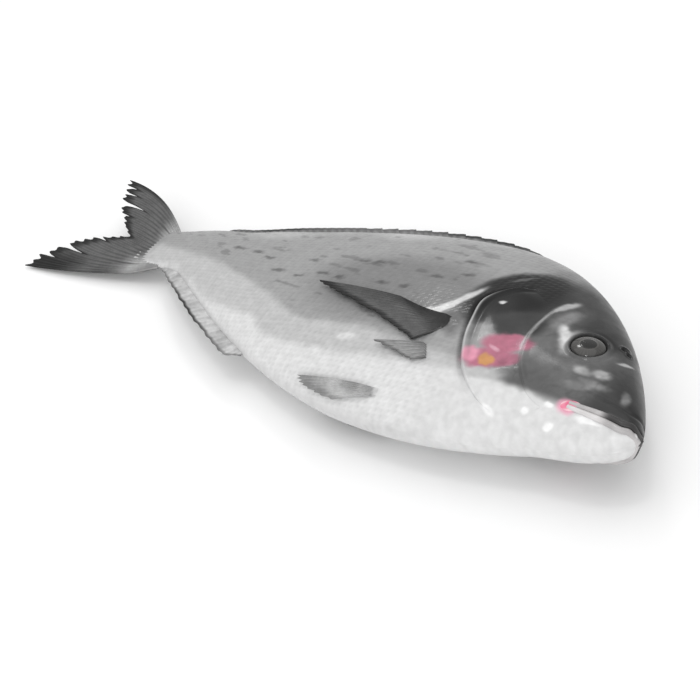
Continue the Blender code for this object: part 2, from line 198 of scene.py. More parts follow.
@dataclass
class FishForm:
    """Outline, thickness and pose of the fish, and the way from fish terms to metres."""

    standard_length: float = 0.240
    snout_line: float = 0.090
    tail_bend: float = 0.019
    tail_bend_from: float = 0.45
    tail_twist: float = 0.191
    tail_twist_from: float = 0.85
    tail_axis: float = 0.046
    body_lean: float = 0.024
    under_settle: float = 0.08
    under_settle_at: float = 0.30
    under_settle_span: float = 0.10
    back_taper: float = 0.06
    # sets the middle of the part's box over the origin, and its lowest point at zero
    origin_shift: tuple[float, float, float] = (0.02946, -0.00110, 0.00168)
    snout_half: float = 0.006
    back_peak: Place = (0.37, 0.30)
    back_rise_power: float = 0.9
    back_fall: float = 0.16
    back_fall_length: float = 0.45
    back_fall_power: float = 1.85
    belly_peak: Place = (0.43, 0.13)
    belly_climb: float = 0.127
    belly_climb_length: float = 0.45
    belly_climb_power: float = 1.65
    chin_depth: float = 0.16
    chin_length: float = 0.13
    stalk_top: float = 0.086
    stalk_top_slope: float = 0.31
    stalk_bottom: float = 0.005
    stalk_blend: float = 0.008
    stalk_end: float = 1.03
    widest: Place = (0.40, 0.068)
    width_rise_power: float = 0.38
    width_fall_power: float = 1.35
    tail_root_width: float = 0.009
    flank_lift: float = 0.050
    head_lift: float = 0.049
    head_lift_length: float = 0.26
    stalk_lift: float = 0.005
    stalk_lift_at: float = 0.80
    stalk_lift_span: float = 0.07
    tail_drop: float = 0.0195
    tail_drop_from: float = 0.86
    tail_drop_length: float = 0.17

    @staticmethod
    def rise(s: Array, length: float, power: float) -> Array:
        """Share of a blunt parabola climbed at s: 0 at the snout, 1 from its length on."""
        ahead = 1 - np.clip(s / length, 0.0, 1.0)
        return (1 - ahead * ahead) ** power

    @staticmethod
    def fall(s: Array, start: float, length: float, power: float) -> Array:
        """Share of a bend passed behind its start, 1 at its length and more beyond."""
        return np.clip((s - start) / length, 0.0, None) ** power

    def back(self, s: Array) -> Array:
        """Height of the back: a blunt parabola, a falling arc, then the tail stalk."""
        s = np.minimum(np.asarray(s, float), self.stalk_end)
        peak_at, peak = self.back_peak
        front = self.rise(s, peak_at, self.back_rise_power)
        body = self.snout_half + (peak - self.snout_half) * front
        rear = self.fall(s, peak_at, self.back_fall_length, self.back_fall_power)
        fallen = body - self.back_fall * rear
        stalk = self.stalk_top + self.stalk_top_slope * np.clip(1 - s, 0.0, None)
        blend = self.stalk_blend * np.clip((s - peak_at) / self.back_fall_length, 0.0, 1.0)
        joined = (fallen + stalk + np.hypot(fallen - stalk, blend)) / 2
        return np.where(s <= peak_at, body, joined)

    def belly(self, s: Array) -> Array:
        """Height of the belly: a chin on a parabola, a climbing arc, then the stalk."""
        s = np.minimum(np.asarray(s, float), self.stalk_end)
        peak_at, peak = self.belly_peak
        jaw = np.clip(1 - s / self.chin_length, 0.0, None) ** 1.5
        chin = self.chin_depth * np.sqrt(np.clip(s, 0.0, None)) * jaw
        body = -self.snout_half - (peak - self.snout_half) * self.rise(s, peak_at, 1.0) - chin
        rear = self.fall(s, peak_at, self.belly_climb_length, self.belly_climb_power)
        body = body + self.belly_climb * rear
        gap = body - self.stalk_bottom
        return (body + self.stalk_bottom - np.hypot(gap, self.stalk_blend)) / 2

    def breadth(self, s: Array) -> Array:
        """Half width of the body, widest behind the head."""
        s = np.minimum(np.asarray(s, float), self.stalk_end)
        widest_at, widest = self.widest
        front = self.rise(s, widest_at, self.width_rise_power)
        rear = self.fall(s, widest_at, 1 - widest_at, self.width_fall_power)
        width = self.snout_half + (widest - self.snout_half) * front
        return width - (widest - self.tail_root_width) * rear

    def lift(self, s: Array) -> Array:
        """Height of the middle plane: head up, stalk arched, tail down."""
        s = np.asarray(s, float)
        head = self.head_lift * np.exp(-s / self.head_lift_length)
        reach = (s - self.stalk_lift_at) / self.stalk_lift_span
        stalk = self.stalk_lift * np.exp(-(reach**2))
        drop = ease(s, self.tail_drop_from, self.tail_drop_from + self.tail_drop_length)
        return self.flank_lift + head + stalk - self.tail_drop * drop

    def metres(self, share: float) -> float:
        """Length in metres of a share of the standard length."""
        return share * self.standard_length

    def place(self, s: Array, y: Array, n: Array) -> Array:
        """World points of fish points.

        Args:
            s: Stations.
            y: Heights towards the back.
            n: Distances from the middle plane, positive on the right flank.

        Returns:
            Points in metres in the frame, coordinates last.
        """
        s, y, n = np.broadcast_arrays(*(np.asarray(v, float) for v in (s, y, n)))
        run = np.clip((s - self.tail_bend_from) / (1 - self.tail_bend_from), 0, None)
        height = y - self.snout_line + self.tail_bend * run**2
        axis = self.tail_axis - self.snout_line + self.tail_bend * run**2
        share = np.clip((s - self.tail_twist_from) / (1 - self.tail_twist_from), 0, 1)
        angle = self.tail_twist * share
        up = axis + (height - axis) * np.cos(angle) - n * np.sin(angle)
        out = (height - axis) * np.sin(angle) + n * np.cos(angle)
        rise = out + self.lift(s) + self.body_lean * up
        points = np.stack([0.5 - s, up, rise], axis=-1) * self.standard_length
        return points + np.array(self.origin_shift)

    def width(self, s: Array, flank: Flank) -> Array:
        """Half width at each station; the left flank is fuller where it bears."""
        width = self.breadth(s)
        if flank is Flank.LEFT:
            reach = (np.asarray(s) - self.under_settle_at) / self.under_settle_span
            width = width * (1 + self.under_settle * np.exp(-reach * reach))
        return width

    def section(self, s: Array, angle: Array, flank: Flank) -> tuple[Array, Array]:
        """Height and sideways place of the skin round a section.

        Args:
            s: Stations.
            angle: Angle from the back, 0, to the belly, pi.
            flank: The side.

        Returns:
            Heights y and signed distances n.
        """
        top, bottom = self.back(s), self.belly(s)
        y = (top + bottom) / 2 + (top - bottom) / 2 * np.cos(angle)
        taper = 1 - self.back_taper * np.cos(angle)
        n = self.width(s, flank) * taper * np.sin(angle)
        return y, flank.value * n

    def outward(self, s: Array, y: Array, flank: Flank) -> Array:
        """Distance of the skin from the middle plane at stations s and heights y."""
        top, bottom = self.back(s), self.belly(s)
        half = np.maximum((top - bottom) / 2, 1e-4)
        share = np.clip((y - (top + bottom) / 2) / half, -0.999, 0.999)
        taper = 1 - self.back_taper * share
        return self.width(s, flank) * taper * np.sqrt(1 - share * share)

    def on_flank(self, s: Array, y: Array, flank: Flank, rise: Array = 0.0) -> Array:
        """World points on the skin, raised along its normal.

        Args:
            s: Stations.
            y: Heights.
            flank: The side.
            rise: Height above the skin in metres.

        Returns:
            Points in metres.
        """
        step = 1e-3
        here = self.place(s, y, flank.value * self.outward(s, y, flank))
        ahead = self.place(s + step, y, flank.value * self.outward(s + step, y, flank))
        above = self.place(s, y + step, flank.value * self.outward(s, y + step, flank))
        normal = np.cross(above - here, ahead - here) * flank.value
        normal /= np.linalg.norm(normal, axis=-1, keepdims=True) + 1e-15
        return here + normal * np.asarray(rise)[..., None]


@dataclass(frozen=True)
class HeadPlan:
    """Where the features of the head sit, in fish terms."""

    eye: Place = (0.135, 0.093)
    eye_radius: float = 0.0250
    mouth_corner: Place = (0.101, -0.015)
    mouth_level: float = -0.0135
    mouth_turn: float = 0.024
    gill_edge: tuple[Place, ...] = (
        (0.262, 0.176),
        (0.300, 0.150),
        (0.320, 0.112),
        (0.310, 0.066),
        (0.290, 0.018),
        (0.258, -0.026),
        (0.205, -0.058),
        (0.150, -0.058),
    )
    cheek_edge: tuple[Place, ...] = (
        (0.214, 0.150),
        (0.222, 0.105),
        (0.214, 0.060),
        (0.196, 0.018),
        (0.160, -0.018),
        (0.122, -0.032),
    )

    def along(self, stations: Sequence[Place], t: Array) -> Array:
        """Points of a smooth curve through stations, t from 0 to 1.

        Args:
            stations: Points in fish terms.
            t: Shares of the way along.

        Returns:
            Pairs s, y with the pair last.
        """
        t = np.asarray(t, float)
        pts = np.array(stations)
        cells = np.clip((t * (len(pts) - 1)).astype(int), 0, len(pts) - 2)
        f = (t * (len(pts) - 1) - cells)[..., None]
        p = pts[np.maximum(cells - 1, 0)]
        q, r = pts[cells], pts[cells + 1]
        u = pts[np.minimum(cells + 2, len(pts) - 1)]
        curve = 2 * q + (r - p) * f + (2 * p - 5 * q + 4 * r - u) * f**2
        return 0.5 * (curve + (3 * q - p - 3 * r + u) * f**3)

    def mouth_line(self, s: Array) -> Array:
        """Height of the line between the lips at each station."""
        front = np.clip(1 - np.asarray(s, float) / self.mouth_turn, 0, 1)
        return self.mouth_level + 0.0125 * front**1.6


def distance_to(curve: Array, s: Array, y: Array) -> tuple[Array, Array]:
    """Nearest distance from points to a curve, and the share along it.

    Args:
        curve: Dense points of the curve.
        s: Stations of the points.
        y: Heights of the points.

    Returns:
        Distances, and shares from 0 to 1 of the nearest curve point.
    """
    best = np.full(np.shape(s), 1e9)
    where = np.zeros(np.shape(s))
    for i in range(len(curve) - 1):
        start, run = curve[i], curve[i + 1] - curve[i]
        share = ((s - start[0]) * run[0] + (y - start[1]) * run[1]) / (run @ run)
        share = np.clip(share, 0, 1)
        gap = (s - start[0] - share * run[0]) ** 2 + (y - start[1] - share * run[1]) ** 2
        nearer = gap < best
        best = np.where(nearer, gap, best)
        where = np.where(nearer, (i + share) / (len(curve) - 1), where)
    return np.sqrt(best), where


# ---- colours of the fish --------------------------------------------------------------


@dataclass(frozen=True)
class Mark:
    """One soft oval of colour on the skin."""

    at: Place
    size: Place
    turn: float
    soft: float
    weight: float
    tone: Colour

    def mask(self, s: Array, y: Array) -> Array:
        """Cover of the mark, from 0 to its weight."""
        return self.weight * oval(s, y, self.at, self.size, self.turn, self.soft)


def oval(
    s: Array, y: Array, at: Place, size: Place, turn: float = 0.0, soft: float = 0.5
) -> Array:
    """Mask of a soft oval, 1 inside.

    Args:
        s: Stations.
        y: Heights.
        at: Centre.
        size: Half sizes along and across.
        turn: Angle of the long axis in degrees, towards the back.
        soft: Share of the size over which the edge fades.

    Returns:
        Values between 0 and 1.
    """
    c, n = math.cos(math.radians(turn)), math.sin(math.radians(turn))
    ds, dy = s - at[0], y - at[1]
    reach = np.hypot((ds * c + dy * n) / size[0], (dy * c - ds * n) / size[1])
    return 1 - ease(reach, 1 - soft, 1 + soft)


def neutral(tone: float) -> Colour:
    """Neutral display colour."""
    return (tone, tone, tone)


@dataclass
class SkinPaint:
    """Tones of the skin in fish terms: pale belly, grey flank, dark head and its marks, some of them
    painted highlights and glints.
    """

    form: FishForm
    plan: HeadPlan
    belly: float = 0.885
    lower_flank: float = 0.775
    flank: float = 0.645
    saddle: float = 0.52
    head: float = 0.385
    forehead: float = 0.22
    exposure: float = 0.775
    ovals: tuple[Mark, ...] = (
        Mark((0.279, 0.140), (0.086, 0.056), -60, 0.22, 1.0, neutral(0.17)),
        Mark((0.285, 0.152), (0.066, 0.048), -58, 0.25, 1.0, neutral(0.04)),
        Mark((0.243, 0.085), (0.040, 0.028), -30, 0.25, 1.0, neutral(0.22)),
        Mark((0.284, 0.048), (0.022, 0.013), -50, 0.4, 0.9, neutral(0.58)),
        # painted highlight: small pale spot in the dark gill blotch
        Mark((0.288, 0.116), (0.006, 0.0035), -30, 0.5, 1.0, neutral(0.86)),
        Mark((0.300, 0.185), (0.020, 0.004), -50, 0.6, 0.6, neutral(0.55)),
        Mark((0.234, 0.045), (0.034, 0.019), -27, 0.25, 0.95, (0.74, 0.43, 0.52)),
        Mark((0.240, 0.010), (0.036, 0.017), -27, 0.25, 0.95, (0.74, 0.44, 0.53)),
        Mark((0.268, 0.004), (0.013, 0.013), -27, 0.35, 0.95, (0.93, 0.63, 0.72)),
        Mark((0.211, 0.053), (0.014, 0.012), -27, 0.4, 0.8, (0.66, 0.40, 0.48)),
        Mark((0.213, 0.020), (0.013, 0.010), -27, 0.4, 0.8, (0.66, 0.40, 0.48)),
        # painted highlight: pale streak on the pink patch
        Mark((0.243, 0.030), (0.009, 0.004), 10, 0.5, 0.8, (0.90, 0.70, 0.76)),
        Mark((0.241, 0.006), (0.0115, 0.0105), 0, 0.3, 1.0, (0.83, 0.60, 0.38)),
        Mark((0.234, -0.016), (0.030, 0.008), -20, 0.5, 0.7, neutral(0.76)),
        Mark((0.209, 0.156), (0.020, 0.0065), -62, 0.5, 0.9, neutral(0.80)),
        Mark((0.192, 0.128), (0.026, 0.012), -70, 0.5, 0.7, neutral(0.62)),
        Mark((0.180, 0.100), (0.020, 0.0085), 62, 0.5, 0.9, neutral(0.88)),
        Mark((0.113, 0.044), (0.013, 0.008), 20, 0.5, 0.8, neutral(0.78)),
        Mark((0.088, 0.050), (0.013, 0.008), -10, 0.5, 0.8, neutral(0.72)),
        Mark((0.094, 0.023), (0.028, 0.008), -20, 0.5, 0.75, neutral(0.56)),
        # painted highlights: pale dash below the nostrils and pale spot on the upper snout
        Mark((0.078, 0.092), (0.010, 0.0030), -40, 0.5, 0.8, neutral(0.80)),
        Mark((0.040, 0.028), (0.013, 0.006), 60, 0.5, 0.8, neutral(0.55)),
        # painted highlight: pale stroke above the pectoral fin's root, laid as three ovals
        Mark((0.378, 0.052), (0.016, 0.0090), -45, 0.4, 1.0, neutral(0.96)),
        Mark((0.361, 0.072), (0.028, 0.0075), -60, 0.4, 1.0, neutral(0.92)),
        Mark((0.343, 0.108), (0.032, 0.0060), -70, 0.5, 0.95, neutral(0.86)),
        # darker base of the pectoral fin: partly its fleshy tone, partly painted shade round the fin's
        # root
        Mark((0.330, 0.046), (0.024, 0.014), 55, 0.5, 0.9, neutral(0.42)),
        Mark((0.462, -0.033), (0.016, 0.007), -10, 0.5, 0.9, neutral(0.88)),
        Mark((0.100, -0.017), (0.013, 0.0105), 0, 0.4, 0.95, (0.95, 0.66, 0.75)),
        Mark((0.110, 0.130), (0.034, 0.020), -45, 0.5, 0.75, neutral(0.14)),
        Mark((0.016, 0.020), (0.014, 0.020), 60, 0.5, 0.7, neutral(0.14)),
        # painted glints: white spots for wet highlights on the throat and under the mouth
        Mark((0.196, -0.058), (0.011, 0.0050), 10, 0.4, 1.0, neutral(1.0)),
        Mark((0.149, -0.041), (0.0055, 0.0048), 0, 0.4, 1.0, neutral(1.0)),
        Mark((0.123, -0.024), (0.0065, 0.0035), -20, 0.4, 1.0, neutral(1.0)),
        Mark((0.110, -0.046), (0.0060, 0.0050), 0, 0.4, 1.0, neutral(1.0)),
        Mark((0.063, -0.024), (0.018, 0.0030), -8, 0.5, 1.0, neutral(1.0)),
    )
    pale_edge: Track = field(init=False)
    grey_edge: Track = field(init=False)

    def __post_init__(self) -> None:
        """Fit the borders between the belly, the lower flank and the flank."""
        self.pale_edge = Track(
            (0.0, 0.10, 0.20, 0.30, 0.40, 0.50, 0.60, 0.66, 0.76, 0.85, 0.92, 1.05),
            (-0.004, -0.018, -0.020, -0.032, -0.056, -0.072, -0.074, -0.048, -0.044, -0.014, 0.006, 0.008),
        )
        self.grey_edge = Track(
            (0.0, 0.25, 0.35, 0.45, 0.56, 0.66, 0.76, 0.86, 0.93, 1.05),
            (0.0, -0.010, -0.014, -0.014, -0.030, -0.004, 0.014, 0.026, 0.042, 0.046),
        )

    def tone(self, s: Array, y: Array, wander: Array) -> Array:
        """Grey tone of the skin, with two painted highlights on the upper flank, before its coloured
        marks.

        Args:
            s: Stations.
            y: Heights.
            wander: Noise between -1 and 1 that frays the borders.

        Returns:
            Display greys between 0 and 1.
        """
        shift = 0.010 * wander
        above = y - self.pale_edge(s) + shift
        grey = self.belly + (self.lower_flank - self.belly) * ease(above, -0.006, 0.012)
        above = y - self.grey_edge(s) + shift
        grey = grey + (self.flank - self.lower_flank) * ease(above, -0.006, 0.014)
        dark = oval(s, y, (0.455, 0.088), (0.150, 0.080), -12, 0.35)
        grey = grey + (self.saddle - grey) * 0.95 * dark
        # painted highlight: two lighter patches on the upper flank
        painted_highlight = oval(s, y, (0.56, 0.235), (0.05, 0.022), -15, 0.8)
        painted_highlight += oval(s, y, (0.76, 0.145), (0.05, 0.02), -25, 0.8)
        grey = grey + 0.10 * np.clip(painted_highlight, 0, 1)
        return self.head_tone(s, y, grey, shift)

    def head_tone(self, s: Array, y: Array, grey: Array, shift: Array) -> Array:
        """Tone with the head's dark parts laid over the body's.

        Args:
            s: Stations.
            y: Heights.
            grey: Tone of the body.
            shift: Fraying of the borders, in fish terms.

        Returns:
            Display greys between 0 and 1.
        """
        upper = ease(y - self.pale_edge(s) + shift, -0.004, 0.008)
        front = 1 - ease(s + 0.25 * shift - 0.35 * np.clip(y - 0.03, 0, 0.2), 0.186, 0.226)
        cheek = self.head + (self.forehead - self.head) * ease(y + shift, 0.085, 0.125)
        muzzle = 1 - ease(s + shift, 0.055, 0.100)
        cheek = cheek + (self.forehead - cheek) * muzzle
        grey = grey + (cheek - grey) * upper * front
        nape = oval(s, y, (0.275, 0.262), (0.060, 0.050), 30, 0.5)
        grey = grey + (0.60 - grey) * 0.75 * nape
        temple = oval(s, y, (0.205, 0.120), (0.030, 0.050), 20, 0.5)
        grey = grey + (0.46 - grey) * 0.6 * temple
        return grey

    def marks(self, s: Array, y: Array, colour: Array) -> Array:
        """Colour with the head's and flank's marks laid on, painted highlights and glints among them.

        Args:
            s: Stations.
            y: Heights.
            colour: Display colours so far, channels last.

        Returns:
            Display colours.
        """
        for mark in self.ovals:
            cover = mark.mask(s, y)[..., None]
            colour = colour + (np.array(mark.tone) - colour) * cover
        cheek = self.plan.along(self.plan.cheek_edge, np.linspace(0, 1, 40))
        away, where = distance_to(cheek, s, y)
        pale = (1 - ease(away, 0.0018, 0.0048)) * (1 - ease(where, 0.40, 0.60))
        colour = colour + (0.74 - colour) * (0.75 * pale)[..., None]
        ring = np.hypot(s - self.plan.eye[0], y - self.plan.eye[1]) / self.plan.eye_radius
        turn = np.arctan2(y - self.plan.eye[1], s - self.plan.eye[0])
        behind = np.exp(-(((turn + 0.15) / 0.85) ** 2))
        halo = np.exp(-(((ring - 1.42) / 0.20) ** 2)) * behind
        return colour + (0.86 - colour) * (0.95 * halo)[..., None]

    def colours(self, s: Array, y: Array, flank: Flank) -> Array:
        """Linear colours of the skin.

        Args:
            s: Stations.
            y: Heights.
            flank: The side, which picks the noise.

        Returns:
            Colours with red, green, blue and alpha last.
        """
        spots = np.stack([s, y, np.full_like(s, 3.0 * flank.value)], axis=-1)
        wander = layered_noise(spots, 0.045, 11)
        grey = self.tone(s, y, wander)
        colour = np.repeat(grey[..., None], 3, axis=-1)
        jitter = layered_noise(spots, 0.016, 29, 3)
        colour = self.marks(s + 0.005 * wander, y + 0.006 * jitter, colour)
        flecks = layered_noise(spots * np.array([1.0, 2.2, 1.0]), 0.030, 47)
        on_body = ease(s, 0.33, 0.40) * ease(y - self.grey_edge(s), 0.0, 0.03)
        colour = colour * (1 - 0.16 * on_body * ease(flecks, 0.28, 0.55))[..., None]
        fine = value_noise(spots, 0.006, 5) - 0.5
        on_head = 1 - ease(s, 0.19, 0.26)
        blots = layered_noise(spots, 0.022, 71, 4)
        veins = 1 - np.abs(layered_noise(spots * np.array([1.0, 1.4, 1.0]), 0.034, 88, 3)) / 0.10
        upper = ease(y - self.pale_edge(s), 0.0, 0.02)
        stain = 0.05 * fine + on_head * upper * (0.26 * blots - 0.08 * np.clip(veins, 0, 1))
        colour = colour * (1 + stain[..., None])
        linear = to_linear(colour) * self.exposure
        return np.concatenate([linear, np.ones(grey.shape + (1,))], axis=-1)


# ---- finishes ---------------------------------------------------------------------------


class NodeBench:
    """Short way to add and link shader nodes in one material."""

    def __init__(self, name: str) -> None:
        """Start a material with a Principled shader.

        Args:
            name: The material's name.
        """
        self.material = bpy.data.materials.new(name)
        self.material.use_nodes = True
        self.tree = self.material.node_tree
        self.shader = self.tree.nodes["Principled BSDF"]

    def add(self, kind: str, **settings: object) -> bpy.types.Node:
        """Add a node and set its properties and its named inputs.

        Args:
            kind: Blender's node type.
            settings: Properties, or inputs when the name starts with in_.

        Returns:
            The node.
        """
        node = self.tree.nodes.new(kind)
        for key, value in settings.items():
            if key.startswith("in_"):
                node.inputs[key[3:].replace("_", " ")].default_value = value
            else:
                setattr(node, key, value)
        return node

    def link(self, source: bpy.types.NodeSocket, target: bpy.types.NodeSocket) -> None:
        """Link an output to an input."""
        self.tree.links.new(source, target)

    def maths(self, operation: str, *values: object) -> bpy.types.NodeSocket:
        """Result of a Math node over sockets and numbers.

        Args:
            operation: Blender's operation name.
            values: Sockets or numbers.

        Returns:
            The output socket.
        """
        node = self.add("ShaderNodeMath", operation=operation)
        for socket, value in zip(node.inputs, values):
            if isinstance(value, bpy.types.NodeSocket):
                self.link(value, socket)
            else:
                socket.default_value = value
        return node.outputs[0]

    def noise(self, scale: float, detail: float = 3.0) -> bpy.types.NodeSocket:
        """Noise over the piece's own coordinates, between 0 and 1.

        Args:
            scale: Cells in a metre.
            detail: Octaves.

        Returns:
            The factor socket.
        """
        where = self.add("ShaderNodeTexCoord")
        node = self.add("ShaderNodeTexNoise", in_Scale=scale, in_Detail=detail)
        self.link(where.outputs["Object"], node.inputs["Vector"])
        return node.outputs["Fac"]

    def tint(self, strength: float, scale: float) -> bpy.types.NodeSocket:
        """Painted colour with fine mottling over it.

        Args:
            strength: How far the mottling lightens and darkens.
            scale: Cells in a metre.

        Returns:
            The colour socket.
        """
        paint = self.add("ShaderNodeAttribute", attribute_name=TINT)
        low, high = 1 - strength, 1 + strength
        spread = self.add("ShaderNodeMapRange")
        spread.inputs["From Min"].default_value = 0.3
        spread.inputs["From Max"].default_value = 0.7
        spread.inputs["To Min"].default_value = low
        spread.inputs["To Max"].default_value = high
        self.link(self.noise(scale), spread.inputs["Value"])
        product = self.add("ShaderNodeVectorMath", operation="SCALE")
        self.link(paint.outputs["Color"], product.inputs[0])
        self.link(spread.outputs["Result"], product.inputs["Scale"])
        return product.outputs["Vector"]

    def bump(self, height: bpy.types.NodeSocket, strength: float, depth: float) -> None:
        """Feed a bump node into the shader's normal.

        Args:
            height: Height socket.
            strength: Share of the bump used.
            depth: Depth of a full step in metres.
        """
        node = self.add("ShaderNodeBump", in_Strength=strength, in_Distance=depth)
        self.link(height, node.inputs["Height"])
        self.link(node.outputs["Normal"], self.shader.inputs["Normal"])


@dataclass(frozen=True)
class WetFinish:
    """Wet animal surface: painted colour, patchy gloss and a thin clear film."""

    name: str
    roughness: tuple[float, float] = (0.28, 0.44)
    film: float = 0.15
    film_roughness: float = 0.10
    metallic: float = 0.0
    specular: float = 0.16
    mottle: float = 0.05
    mottle_scale: float = 420.0
    pore_scale: float = 1900.0
    pore_depth: float = 0.00012
    pore_strength: float = 0.25
    subsurface: float = 0.0

    def make(self) -> bpy.types.Material:
        """Build the material."""
        bench = NodeBench(self.name)
        shader = bench.shader
        bench.link(bench.tint(self.mottle, self.mottle_scale), shader.inputs["Base Color"])
        spread = bench.add("ShaderNodeMapRange")
        spread.inputs["From Min"].default_value = 0.35
        spread.inputs["From Max"].default_value = 0.65
        spread.inputs["To Min"].default_value = self.roughness[0]
        spread.inputs["To Max"].default_value = self.roughness[1]
        bench.link(bench.noise(160.0), spread.inputs["Value"])
        bench.link(spread.outputs["Result"], shader.inputs["Roughness"])
        shader.inputs["Metallic"].default_value = self.metallic
        shader.inputs["Specular IOR Level"].default_value = self.specular
        shader.inputs["Coat Weight"].default_value = self.film
        shader.inputs["Coat Roughness"].default_value = self.film_roughness
        shader.inputs["Subsurface Weight"].default_value = self.subsurface
        shader.inputs["Subsurface Scale"].default_value = 0.002
        bench.bump(bench.noise(self.pore_scale, 2.0), self.pore_strength, self.pore_depth)
        return bench.material


@dataclass(frozen=True)
class FloorFinish:
    """Plain pale board with the faintest unevenness."""

    name: str = "pale_floor"
    tone: float = 0.90

    def make(self) -> bpy.types.Material:
        """Build the material."""
        bench = NodeBench(self.name)
        noise = bench.noise(3.0)
        tone = bench.maths("MULTIPLY_ADD", noise, 0.01, self.tone)
        mixer = bench.add("ShaderNodeCombineColor")
        for channel in ("Red", "Green", "Blue"):
            bench.link(tone, mixer.inputs[channel])
        bench.link(mixer.outputs["Color"], bench.shader.inputs["Base Color"])
        bench.shader.inputs["Roughness"].default_value = 0.75
        bench.shader.inputs["Specular IOR Level"].default_value = 0.2
        return bench.material


@dataclass
class FinishRack:
    """All finishes of the fish, each made once."""

    skin: bpy.types.Material = field(init=False)
    fin: bpy.types.Material = field(init=False)
    eye: bpy.types.Material = field(init=False)
    flesh: bpy.types.Material = field(init=False)
    bone: bpy.types.Material = field(init=False)

    def __post_init__(self) -> None:
        """Make the materials."""
        self.skin = WetFinish("wet_skin").make()
        self.fin = WetFinish(
            "fin_web", roughness=(0.34, 0.5), film=0.08, mottle=0.10, mottle_scale=900.0
        ).make()
        self.eye = WetFinish(
            "eye_gloss", roughness=(0.16, 0.22), film=0.5, film_roughness=0.05, pore_strength=0.02
        ).make()
        self.flesh = WetFinish("mouth_flesh", roughness=(0.25, 0.4), film=0.3).make()
        self.bone = WetFinish("tooth_bone", roughness=(0.3, 0.4), film=0.2, mottle=0.03).make()


# ---- mesh making ------------------------------------------------------------------------


def grid_faces(rows: int, columns: int, start: int = 0) -> Array:
    """Quads of a grid of points stored row by row.

    Args:
        rows: Number of rows.
        columns: Points in a row.
        start: Index of the first point.

    Returns:
        Corner numbers, four to a face.
    """
    index = start + np.arange(rows * columns).reshape(rows, columns)
    a, b = index[:-1, :-1], index[1:, :-1]
    c, d = index[1:, 1:], index[:-1, 1:]
    return np.stack([a, b, c, d], axis=-1).reshape(-1, 4)


def rim_faces(rows: int, columns: int) -> Array:
    """Quads that join the edges of two like grids stored one after the other."""
    index = np.arange(rows * columns).reshape(rows, columns)
    loop = np.concatenate([index[0, :], index[1:, -1], index[-1, -2::-1], index[-2:0:-1, 0]])
    nxt = np.roll(loop, -1)
    far = rows * columns
    return np.stack([loop, loop + far, nxt + far, nxt], axis=-1)


@dataclass
class PieceMaker:
    form: FishForm
    box_margin: float = 0.00005
    made: list[str] = field(default_factory=list)

    def contain(self, points: Array) -> Array:
        """Points kept inside the solid's box."""
        low = np.array(CAD_BOX[0][:]) + self.box_margin
        high = np.array(CAD_BOX[1][:]) - self.box_margin
        return np.clip(points, low, high)

    def piece(
        self,
        name: str,
        points: Array,
        faces: Array,
        tints: Array,
        finish: bpy.types.Material,
        mend: bool = True,
    ) -> bpy.types.Object:
        """Make one piece, colour it and tie it to the body.

        Args:
            name: The piece's name.
            points: Positions in metres.
            faces: Corner numbers.
            tints: One linear colour for each point.
            finish: Its material.
            mend: Whether to turn the faces outward.

        Returns:
            The new object.
        """
        mesh = bpy.data.meshes.new(name)
        mesh.from_pydata(self.contain(points.reshape(-1, 3)).tolist(), [], faces.tolist())
        paint = mesh.attributes.new(TINT, "FLOAT_COLOR", "POINT")
        paint.data.foreach_set("color", np.ascontiguousarray(tints.reshape(-1), np.float32))
        if mend:
            shape = bmesh.new()
            shape.from_mesh(mesh)
            bmesh.ops.recalc_face_normals(shape, faces=shape.faces)
            shape.to_mesh(mesh)
            shape.free()
        mesh.polygons.foreach_set("use_smooth", np.ones(len(mesh.polygons), bool))
        mesh.materials.append(finish)
        mesh.update()
        piece = bpy.data.objects.new(name, mesh)
        bpy.context.scene.collection.objects.link(piece)
        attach(piece, BODY)
        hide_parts(NODE)
        self.made.append(name)
        LOG.info("made %s with %d faces", name, len(faces))
        return piece

    def thin_solid(
        self, name: str, front: Array, back: Array, tints: Array, finish: bpy.types.Material
    ) -> bpy.types.Object:
        """Make a closed thin piece from its two faces.

        Args:
            name: The piece's name.
            front: Grid of points of one face.
            back: Grid of the other face.
            tints: Grid of colours, used on both faces.
            finish: Its material.

        Returns:
            The new object.
        """
        rows, columns = front.shape[:2]
        points = np.concatenate([front.reshape(-1, 3), back.reshape(-1, 3)])
        faces = np.concatenate(
            [
                grid_faces(rows, columns),
                grid_faces(rows, columns, rows * columns)[:, ::-1],
                rim_faces(rows, columns),
            ]
        )
        colours = np.concatenate([tints.reshape(-1, 4)] * 2)
        return self.piece(name, points, faces, colours, finish)

    def tube(
        self,
        name: str,
        path: Array,
        radii: Array,
        tints: Array,
        finish: bpy.types.Material,
        sides: int = 12,
    ) -> bpy.types.Object:
        """Make a closed tube of changing radius along a path.

        Args:
            name: The piece's name.
            path: Points of the middle line.
            radii: Radius at each point.
            tints: Colour at each point.
            finish: Its material.
            sides: Points round the tube.

        Returns:
            The new object.
        """
        points, faces, colours = tube_parts(path, radii, tints, sides)
        return self.piece(name, points, faces, colours, finish)


